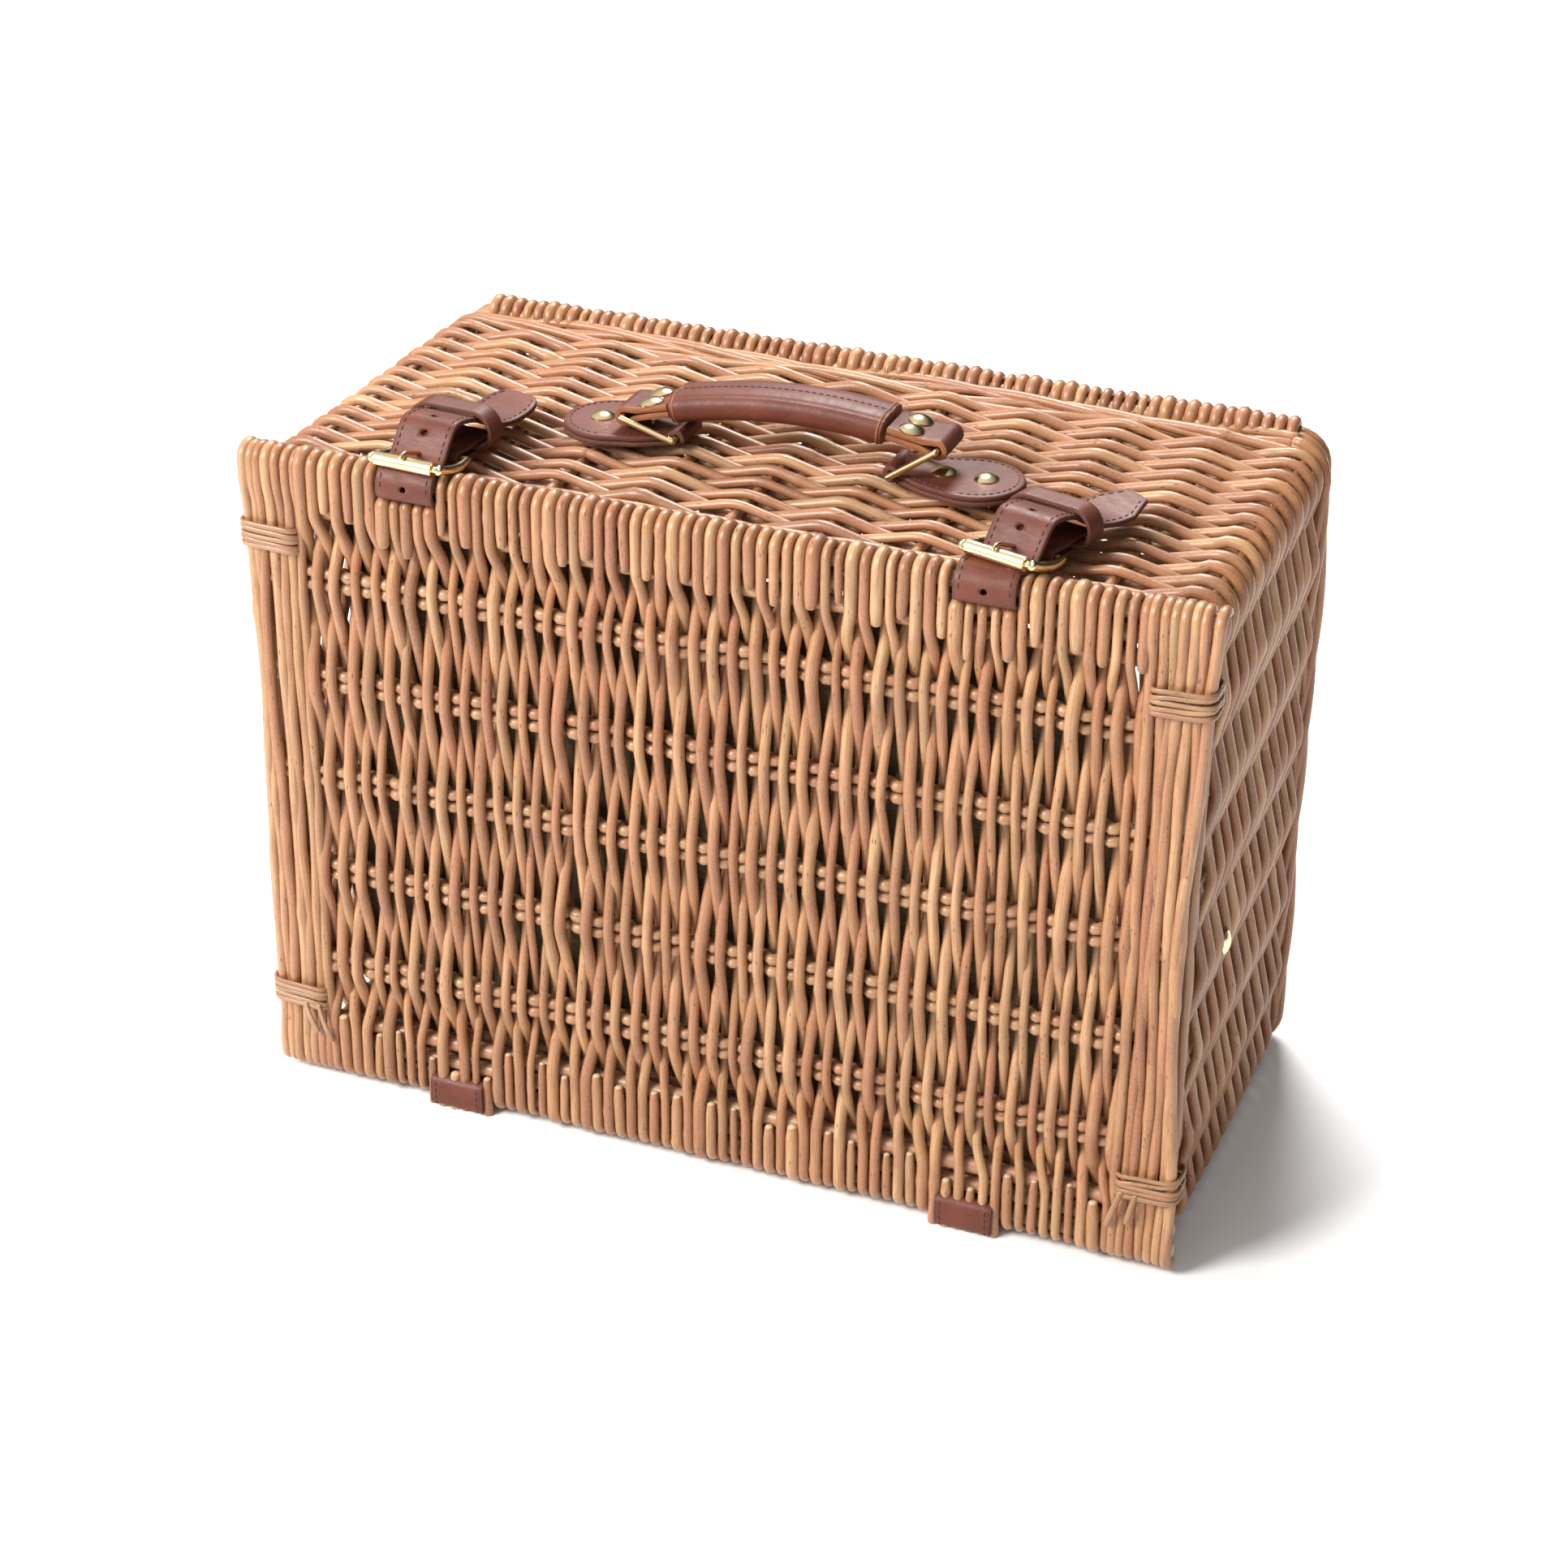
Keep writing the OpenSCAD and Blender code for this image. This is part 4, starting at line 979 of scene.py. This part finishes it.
def closure(word):
    fact = CLOSURES[word]
    origin, across, back = closure_frame(word)
    yaw, bend, setback = math.radians(fact["yaw"]), math.radians(fact["bend"]), fact["setback"]

    # The strap: inside the lid, up its front, over its edge, over the buckle and back
    loop_pts = [[0, 9, -9.35], [0, 4, -9.35], [0, 0.4, -9.2], [0, -0.9, -8.2], [0, -1.3, -6.5]]
    for a in np.radians(np.linspace(180, 96, 12)):
        loop_pts.append([0, 8 + 9.3 * math.cos(a), -4 + 9.3 * math.sin(a)])
    loop_pts = np.array(loop_pts)
    length = 93.0
    ys = np.arange(8.0 + setback, length + setback, 1.5)
    local = ys - setback
    swerve = bend * smoothstep((local - 44) / 11)
    # Beyond the keeper the tail turns aside, so its distance is added up along the bend
    x_side = np.concatenate([[0], np.cumsum(np.sin(swerve[1:]) * 1.5)])
    y_back = ys[0] + np.concatenate([[0], np.cumsum(np.cos(swerve[1:]) * 1.5)])
    band = origin + x_side[:, None] * across + y_back[:, None] * back
    band[:, 2] = origin[2] + strap_height(local)
    heading = yaw + swerve
    band_across = np.stack([np.cos(heading), -np.sin(heading), 0 * heading], 1)
    loop_world = origin + loop_pts
    path = np.concatenate([loop_world, band])
    sides = np.concatenate([np.repeat(X[None], len(loop_world), 0), band_across])
    s = travelled(path)
    even = np.linspace(0, s[-1], int(s[-1] / 1.3))
    path = np.stack([np.interp(even, s, path[:, k]) for k in range(3)], 1)
    sides = unit(np.stack([blurred(np.interp(even, s, sides[:, k]), 4) for k in range(3)], 1))
    for k in range(3):
        path[:, k] = blurred(path[:, k], 1)
    left_over = even[-1] - even
    width = np.full(len(even), 28.0)
    if word == "left":
        tip = 28 * np.sqrt(np.clip(1 - (1 - np.clip(left_over / 13, 0, 1)) ** 2, 0.02, 1))
        width = np.minimum(width, 9 + tip * 19 / 28)
    else:
        width = np.minimum(width, 13 + left_over * 1.15)
    strap = Builder()
    line = strap.ribbon(path, sides, width, 2.4)
    seams = Builder()
    for sign in (-1, 1):
        seams.stitches(*line, sign * (width / 2 - 2.7), 1.2, start=14, stop=3)
    obj = strap.build(f"closure_leather_{word}", LEATHER, 50)
    holes = []
    arch_at = origin + back * (27.6 + setback) + Z * 19
    holes.append(hole_cutter(arch_at, Z + 0.05 * X, 3.2, 9))
    holes.append(hole_cutter(origin + np.array([0, -1.2, -3.2]), Y, 3.0, 7))
    tail_at = origin + back * (setback + 18) + Z * 17.0
    holes.append(hole_cutter(tail_at, Z - 0.55 * back, 3.4, 12))
    cut_away(obj, holes)
    join(obj, seams.build("seams", LEATHER))
    stand_for(obj, "lid", "brown_leather", f"closure_strap_{word}")

    def at(x, y, z):
        return origin + x * across + (y + setback) * back + z * Z

    # The chape: folded round the rear bar, both layers held under the keeper
    rear_y = 0.6 + REACH
    inner = 2.72
    chape_pts = [at(0, rear_y + 28, 1.5), at(0, rear_y + 12, 1.5), at(0, rear_y, REAR_Z - inner)]
    for a in np.radians(np.linspace(-100, -260, 11)):
        chape_pts.append(at(0, rear_y + inner * math.cos(a), REAR_Z + inner * math.sin(a)))
    chape_pts += [at(0, rear_y + 6, 6.12), at(0, rear_y + 14, 6.12), at(0, rear_y + 28, 6.12)]
    path = resample(chape_pts, 1.5)
    chape = Builder()
    chape.ribbon(path, -across, 27.6, 2.1)
    obj = chape.build(f"chape_leather_{word}", LEATHER, 50)
    slot = Builder()
    ends = [at(0, rear_y - 6, REAR_Z + 0.5), at(0, rear_y + 4.5, REAR_Z + 0.5)]
    slot.tube(np.linspace(ends[0], ends[1], 6), 2.9, across, 0.5, 16, 0, 2.2)
    cut_away(obj, [slot.build("cutter", [])])
    stand_for(obj, "basket", "brown_leather", f"buckle_chape_{word}")

    # The keeper: a thin loop standing up over the strap
    low_z, high_z, half_w, corner = 2.7 + 1.1, 21.7 - 1.1, 20.9, 8.5
    keeper_pts = []
    for cx, cz, start in ((half_w - 7, low_z + 7, -90), (half_w - corner, high_z - corner, 0),
                          (-half_w + corner, high_z - corner, 90), (-half_w + 7, low_z + 7, 180)):
        turn_r = 7 if cz < 12 else corner
        for a in np.radians(start + np.linspace(0, 90, 9)):
            keeper_pts.append((cx + turn_r * math.cos(a), cz + turn_r * math.sin(a)))
    keeper_pts.append(keeper_pts[0])
    crown, crown_drop, crowned_above = 1.3, 1.2, 12
    keeper_y, keeper_lean = 38.6 + 5.5, 0.05

    def crowned(x, z):
        """The keeper's top rises in the middle, and its lower layer stays flat."""
        if z > crowned_above:
            return z + crown * (1 - (x / half_w) ** 2) - crown_drop
        return z

    path = [at(x, keeper_y + keeper_lean * (z - low_z), crowned(x, z)) for x, z in keeper_pts]
    path = resample(path, 1.6)
    keeper = Builder()
    keeper.ribbon(path, -back, 10.8, 2.0, False)
    obj = keeper.build(f"keeper_leather_{word}", LEATHER, 50)
    stand_for(obj, "basket", "brown_leather", f"strap_keeper_{word}")

    # The buckle's wire frame: straight bars, and arms that bow outward like sickles
    wire = Builder()
    for y, z in ((0.6, fact["roller"]), (rear_y, REAR_Z)):
        ends = [at(-SPAN / 2, y, z), at(SPAN / 2, y, z)]
        wire.tube(np.linspace(ends[0], ends[1], 12), 1.45, Z, 0.5, 14)
    t = np.linspace(0, 1, 21)
    for sign in (-1, 1):
        bulge = np.sin(np.pi * t)
        arm = [
            at(sign * (SPAN / 2 + 1.4 * b), 0.6 + REACH * q,
               fact["roller"] + (REAR_Z - fact["roller"]) * q - 1.5 * b)
            for q, b in zip(t, bulge)
        ]
        profile = 1.75 + 0.35 * bulge + 0.35 * np.exp(-((t / 0.06) ** 2))
        wire.tube(arm, profile, across, 0.5, 16, 0, 1.1)
    obj = wire.build(f"buckle_wire_{word}", [gold])
    stand_for(obj, f"buckle_{word}", "brass", f"buckle_frame_{word}")

    # The prong: from its ring on the rear bar, over the roller and down in front of it
    pin = Builder()
    rise = fact["roller"] - REAR_Z
    far = math.hypot(REACH, rise)
    slope = math.atan2(rise, REACH) + math.asin(4.9 / far)
    along = np.linspace(2.6, far - 0.6, 14)
    pts = [at(0, rear_y - d * math.cos(slope), REAR_Z + d * math.sin(slope)) for d in along]
    for a in np.linspace(0.1, 0.75, 5):
        turn = math.pi / 2 + a
        pts.append(at(0, 0.6 + 4.9 * math.cos(turn), fact["roller"] + 4.9 * math.sin(turn)))
    path = resample(pts, 1.1)
    taper = np.interp(np.linspace(0, 1, len(path)), [0, 0.75, 1], [1.45, 1.25, 0.85])
    pin.tube(path, taper, across, 0.5, 14, 0, 0.85)
    ring = [
        at(0, rear_y + 2.35 * math.cos(a), REAR_Z + 2.35 * math.sin(a))
        for a in np.linspace(0, 2 * np.pi, 25)
    ]
    for shift in (-1.2, 0, 1.2):
        pin.tube(np.array(ring) + across * shift, 0.78, across, 0.5, 8, 0, 1.0)
    obj = pin.build(f"buckle_pin_{word}", [gold])
    stand_for(obj, f"prong_{word}", "brass", f"buckle_prong_{word}")


closure("left")
closure("right")

# ---- Handle ----

HANDLE_Y = float(sum(box_mm("handle_ring_left")[k][1] for k in (0, 1)) / 2)
handle_x = 4.0
bend_points = {"left": (handle_x - 55, body_top + 18), "right": (handle_x + 49, body_top + 24)}
loop_xs = {"left": handle_x - 51.8, "right": handle_x + 51.8}
LOOP_Z = body_top + 4.78
ring_angles = {"left": math.radians(180 - 16), "right": math.radians(35)}


def ring_bar(word):
    """The upper bar of a ring, in x and z."""
    a = ring_angles[word]
    return loop_xs[word] + 26.2 * math.cos(a), LOOP_Z + 26.2 * math.sin(a)


def grip():
    """Leather sewn round a padded core, with a seam along the top and rounded sides."""
    (x0, z0), (x1, z1) = bend_points["left"], bend_points["right"]
    t = np.linspace(0, 1, 70)
    inset = 1.6
    chord = math.hypot(x1 - x0, z1 - z0)
    ux, uz = (x1 - x0) / chord, (z1 - z0) / chord
    d = inset + (chord - 2 * inset) * t
    arch = 5.0 * np.sin(np.pi * t) ** 0.9
    path = np.stack([x0 + ux * d - uz * arch, 0 * t + HANDLE_Y, z0 + uz * d + ux * arch], 1)
    tangent = unit(np.gradient(path, axis=0))
    normal = np.cross(tangent, Y)
    normal *= np.sign(normal[:, 2:3])
    half_w, half_t = 13.9, 6.9
    angle = 2 * np.pi * np.arange(72) / 72
    c, s = np.cos(angle), np.sin(angle)
    a = half_w * np.sign(c) * np.abs(c) ** 0.55
    h = half_t * np.sign(s) * np.abs(s) ** 0.8
    top = s > 0
    h = h - np.where(top, 0.55 * np.exp(-(((a - 0.0) / 0.9) ** 2)), 0)
    h = h + np.where(top, 0.35 * np.exp(-(((a - 2.6) / 1.6) ** 2)), 0)
    h = h + np.where(top, 0.35 * np.exp(-(((a + 2.6) / 1.6) ** 2)), 0)
    side_fold = np.exp(-(((np.abs(a) - 10.2) / 0.7) ** 2))
    h = h - np.where(top, 0.35 * side_fold, 0)
    points = path[:, None] + a[None, :, None] * Y + h[None, :, None] * normal[:, None]
    flow = travelled(path)
    space = np.stack([
        np.broadcast_to(a, (70, 72)), np.broadcast_to(h, (70, 72)),
        np.broadcast_to(flow[:, None], (70, 72)),
    ], -1)
    body = Builder()
    index = body.grid(points, np.broadcast_to(0.2, (70, 72)), space, 0.0, 0, True)
    for row, flip in ((0, False), (-1, True)):
        body.fan(index[row], path[row], 0.9, space[row].mean(0), 0.0, 1, flip)
    side = np.repeat(Y[None], 70, 0)
    body.stitches(path + normal * half_t, side, normal, 0.0, -0.35, 3.3)
    for row in (1, -2):
        rim = points[row]
        rim = np.concatenate([rim, rim[:2]])
        body.tube(rim + tangent[row] * (0.2 if row > 0 else -0.2), 0.5, tangent[row], 0.9, 6, 1)
    stand_for(body.build("grip_leather", LEATHER_RAW, 60), "grip", "brown_leather", "handle_grip")


grip()


def end_tab(word):
    """One strip of leather folded round the ring's bar, its two layers riveted together."""
    bx, bz = bend_points[word]
    rx, rz = ring_bar(word)
    reach = math.hypot(rx - bx, rz - bz)
    ux, uz = (rx - bx) / reach, (rz - bz) / reach
    nx, nz = -uz, ux
    if nz < 0:
        nx, nz = -nx, -nz
    low, high = box_mm(f"handle_tab_{word}")
    gap, bar = 1.62, 3.35
    local = [(0.4, gap), (reach * 0.4, gap), (reach * 0.7, gap + 0.15)]
    for a in np.radians(np.linspace(118, -118, 15)):
        local.append((reach + bar * math.cos(a), bar * math.sin(a)))
    local += [(reach * 0.7, -gap - 0.15), (reach * 0.4, -gap), (0.4, -gap)]
    path = np.array([
        [bx + ux * d + nx * h, (low[1] + high[1]) / 2, bz + uz * d + nz * h] for d, h in local
    ])
    path = resample(path, 1.2)
    strip = Builder()
    facing = Y if word == "left" else -Y
    strip.ribbon(path, facing, high[1] - low[1] - 0.2, 2.9)
    obj = strip.build(f"tab_leather_{word}", LEATHER_RAW, 50)
    stand_for(obj, f"tab_{word}", "brown_leather", f"handle_tab_{word}")


def base_plate(word):
    """A round-ended plate of two leather layers that loops round the ring's lower bar."""
    sign = -1 if word == "left" else 1
    low = box_mm(f"handle_base_plate_{word}")[0]
    plate = Builder()
    centre_x = loop_xs[word] + sign * 36
    radius = 22.8
    outline = []
    for a in np.radians(np.linspace(-100, 100, 41)):
        outline.append((centre_x + sign * radius * math.cos(a), radius * math.sin(a)))
    outline += [(loop_xs[word] + sign * 16, 18.0), (loop_xs[word] + sign * 5, 11.6),
                (loop_xs[word] + sign * 1.5, 10.9)]
    outline += [(loop_xs[word] + sign * 1.5, 0), (loop_xs[word] + sign * 1.5, -10.9),
                (loop_xs[word] + sign * 5, -11.6), (loop_xs[word] + sign * 16, -18.0)]
    flat = np.array([[x, y, 0] for x, y in outline + outline[:1]])
    s = travelled(flat)
    even = np.linspace(0, s[-1], 161)[:-1]
    flat = np.stack([np.interp(even, s, flat[:, k]) for k in range(3)], 1)
    for k in range(2):
        wrapped = np.concatenate([flat[-3:, k], flat[:, k], flat[:3, k]])
        flat[:, k] = np.convolve(wrapped, np.ones(5) / 5, mode="valid")[1:-1]
    heart = flat.mean(0)
    inward = unit(heart - flat)
    for layer in range(2):
        z0 = low[2] + 0.05 + layer * 2.4
        shrink = layer * 0.5
        rings = [(0.9, 0.02), (0.15, 0.35), (0.0, 0.9), (0.0, 1.5), (0.15, 2.0), (0.8, 2.33),
                 (3.0, 2.36), (8.0, 2.36)]
        stack = [flat + inward * (inset + shrink) + Z * (z0 + up) for inset, up in rings]
        stack = np.array(stack)
        stack[..., 1] += HANDLE_Y
        space = np.stack([stack[..., 0], stack[..., 2], stack[..., 1]], -1)
        edge = np.array([1.0, 1.0, 1.0, 1.0, 1.0, 0.9, 0.5, 0.2])[:, None]
        mats = np.repeat(np.array([1, 1, 1, 1, 1, 0, 0])[:, None], 160, 1)
        index = plate.grid(stack, edge, space, 0.0, mats, True)
        for row, flip in ((0, sign < 0), (-1, sign > 0)):
            middle = stack[row].mean(0)
            plate.fan(index[row], middle, 0.2, space[row].mean(0), 0.0, 0, flip)
    top = low[2] + 4.81
    seam = flat + inward * 3.4
    seam = np.concatenate([seam, seam[:1]])
    seam[:, 1] += HANDLE_Y
    seam[:, 2] = top
    ahead = unit(np.gradient(seam, axis=0))
    beyond = np.cross(ahead, Z)
    plate.stitches(seam, beyond, np.repeat(Z[None], len(seam), 0), 0.0, 0.0, 3.4)
    # The loop round the ring's lower bar
    pts = []
    for a in np.radians(np.linspace(75, 300, 25)):
        pts.append([loop_xs[word] + sign * 3.0 * math.cos(a), HANDLE_Y, LOOP_Z + 3.0 * math.sin(a)])
    pts.insert(0, [loop_xs[word] + sign * 5.0, HANDLE_Y, LOOP_Z - 0.7])
    pts.append([loop_xs[word] + sign * 6.0, HANDLE_Y, LOOP_Z - 3.0])
    path = resample(pts, 1.0)
    plate.ribbon(path, Y if word == "left" else -Y, 21.8, 2.4)
    obj = plate.build(f"plate_leather_{word}", LEATHER, 50)
    stand_for(obj, "basket", "brown_leather", f"handle_base_plate_{word}")


for word in ("left", "right"):
    end_tab(word)
    base_plate(word)

# ---- Lining ----

LINING_LOW, LINING_HIGH = box_mm("lid_lining")


def lining():
    """A thin pad, puffed by a short cloth simulation towards the inside of the hamper."""
    w, h = LINING_HIGH[0] - LINING_LOW[0], LINING_HIGH[2] - LINING_LOW[2]
    nx, nz = int(w / 6.0), int(h / 6.0)
    xs = np.linspace(LINING_LOW[0], LINING_HIGH[0], nx + 1)
    zs = np.linspace(LINING_LOW[2], LINING_HIGH[2], nz + 1)
    gx, gz = np.meshgrid(xs, zs, indexing="ij")
    front, back = LINING_LOW[1] + 0.3, LINING_HIGH[1] - 0.3
    points, faces = [], []
    for y in (front, back):
        points.append(np.stack([gx, np.full_like(gx, y), gz], -1).reshape(-1, 3))
    count = (nx + 1) * (nz + 1)
    index = np.arange(count).reshape(nx + 1, nz + 1)
    quads = np.stack([index[:-1, :-1], index[1:, :-1], index[1:, 1:], index[:-1, 1:]], -1)
    quads = quads.reshape(-1, 4)
    faces = quads.tolist() + (quads[:, ::-1] + count).tolist()
    rim = np.concatenate([index[:, 0], index[-1, 1:], index[-2::-1, -1], index[0, -2:0:-1]])
    for a, b in zip(rim, np.roll(rim, -1)):
        faces.append([int(b), int(a), int(a) + count, int(b) + count])
    mesh = bpy.data.meshes.new("lid_pad")
    mesh.from_pydata((np.concatenate(points) * MM).tolist(), [], faces)
    obj = bpy.data.objects.new("lid_pad", mesh)
    bpy.context.scene.collection.objects.link(obj)
    rest = np.concatenate(points) * MM
    pins = obj.vertex_groups.new(name="pins")
    held = [int(i) for i in rim] + [int(i) + count for i in rim] + list(range(count))
    pins.add(sorted(set(held)), 1.0, "REPLACE")
    cloth = obj.modifiers.new("Cloth", "CLOTH")
    cloth.settings.quality = 5
    cloth.settings.mass = 0.2
    cloth.settings.tension_stiffness = 12
    cloth.settings.compression_stiffness = 12
    cloth.settings.shear_stiffness = 6
    cloth.settings.bending_stiffness = 0.4
    cloth.settings.use_pressure = True
    cloth.settings.uniform_pressure_force = 4.0
    cloth.settings.vertex_group_mass = "pins"
    cloth.settings.effector_weights.gravity = 0.0
    cloth.collision_settings.use_collision = False
    cloth.point_cache.frame_start = 1
    cloth.point_cache.frame_end = 20
    scene = bpy.context.scene
    for f in range(1, 21):
        scene.frame_set(f)
    graph = bpy.context.evaluated_depsgraph_get()
    made = bpy.data.meshes.new_from_object(obj.evaluated_get(graph))
    obj.modifiers.clear()
    co = np.array([v.co for v in made.vertices])
    moved = np.clip(co - rest, -0.0045, 0.0045)
    moved[:, 0] *= 0.3
    moved[:, 2] *= 0.3
    co = rest + moved
    co[:, 1] = np.clip(co[:, 1], front * MM, (back + 4.5) * MM)
    made.vertices.foreach_set("co", co.astype(np.float32).reshape(-1))
    obj.data = made
    scene.frame_set(1)
    smoother = obj.modifiers.new("finer", "SUBSURF")
    smoother.levels = smoother.render_levels = 1
    graph = bpy.context.evaluated_depsgraph_get()
    made = bpy.data.meshes.new_from_object(obj.evaluated_get(graph))
    obj.modifiers.clear()
    obj.data = made
    obj.data.materials.clear()
    obj.data.materials.append(cotton)
    obj.data.polygons.foreach_set("use_smooth", np.ones(len(obj.data.polygons), bool))
    stand_for(obj, "lid", "khaki_cloth", "lid_lining")


lining()

# ---- CAD pieces that show as they are ----

for node in (
    "buckle_roller_left", "buckle_roller_right", "handle_tab_rivets_left",
    "handle_tab_rivets_right", "handle_ring_left", "handle_ring_right",
    "base_plate_rivets", "base_plate_washers", "side_rivets", "side_rivet_washers",
):
    part = next(o for o in bpy.context.scene.objects if o.get("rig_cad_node") == node)
    part.data.materials.clear()
    part.data.materials.append(gold)
    for face in part.data.polygons:
        face.use_smooth = True
    part.data.set_sharp_from_angle(angle=math.radians(40))

# ---- Floor, light and camera ----


def pale_floor():
    s = Shader("studio_floor")
    place = s.add("ShaderNodeTexCoord", {}).outputs["Object"]
    cloud = s.noise(s.scaled(place, (3.0, 3.0, 3.0)), 1.0)
    colour = s.mix(s.levels(cloud, 0.3, 0.7), (0.93, 0.93, 0.93), (0.95, 0.95, 0.95))
    s.feed(s.surface, {"Base Color": colour, "Roughness": 0.9, "Specular IOR Level": 0.1})
    mesh = bpy.data.meshes.new("studio_floor")
    half = 9.0
    mesh.from_pydata(
        [(-half, -half, 0), (half, -half, 0), (half, half, 0), (-half, half, 0)], [], [(0, 1, 2, 3)]
    )
    mesh.materials.append(s.mat)
    floor = bpy.data.objects.new("studio_floor", mesh)
    bpy.context.scene.collection.objects.link(floor)


pale_floor()


def area_light(name, place, target, size, power, colour=(1, 1, 1)):
    light = bpy.data.lights.new(name, "AREA")
    light.shape = "DISK"
    light.size = size
    light.energy = power
    light.color = colour
    obj = bpy.data.objects.new(name, light)
    obj.location = place
    aim = Vector(target) - Vector(place)
    obj.rotation_euler = aim.to_track_quat("-Z", "Y").to_euler()
    bpy.context.scene.collection.objects.link(obj)


CENTRE = (0.0, 0.0, 0.16)
area_light("key", (-1.5, -1.9, 1.9), CENTRE, 1.2, 118, (1.0, 0.985, 0.96))
area_light("top_rear", (-0.4, 1.3, 2.0), CENTRE, 0.8, 62)

world = bpy.data.worlds.new("studio")
world.use_nodes = True
sky = world.node_tree
around = sky.nodes.new("ShaderNodeTexCoord")
towards = sky.nodes.new("ShaderNodeVectorMath")
towards.operation = "DOT_PRODUCT"
towards.inputs[1].default_value = (-0.55, -0.45, 0.70)
fall = sky.nodes.new("ShaderNodeMapRange")
fall.inputs["From Min"].default_value = -0.15
fall.inputs["To Min"].default_value = 0.03
fall.inputs["To Max"].default_value = 0.95
sky.links.new(around.outputs["Generated"], towards.inputs[0])
sky.links.new(towards.outputs["Value"], fall.inputs["Value"])
sky.links.new(fall.outputs["Result"], sky.nodes["Background"].inputs["Strength"])
sky.nodes["Background"].inputs["Color"].default_value = (1, 1, 1, 1)
scene = bpy.context.scene
scene.world = world
scene.view_settings.view_transform = "Standard"

CAMERA_PLACE = (0.51327, -1.31175, 0.91777)
CAMERA_AXES = (
    (0.92813, -0.18521, 0.32291),
    (0.37214, 0.44019, -0.81716),
    (0.00920, 0.87860, 0.47747),
)
lens = bpy.data.cameras.new("camera")
lens.sensor_width = 36.0
lens.lens = 76.54
lens.clip_start, lens.clip_end = 0.05, 50.0
camera = bpy.data.objects.new("camera", lens)
turn = Matrix(CAMERA_AXES).to_quaternion().to_matrix().to_4x4()
camera.matrix_world = Matrix.Translation(CAMERA_PLACE) @ turn
scene.collection.objects.link(camera)
scene.camera = camera
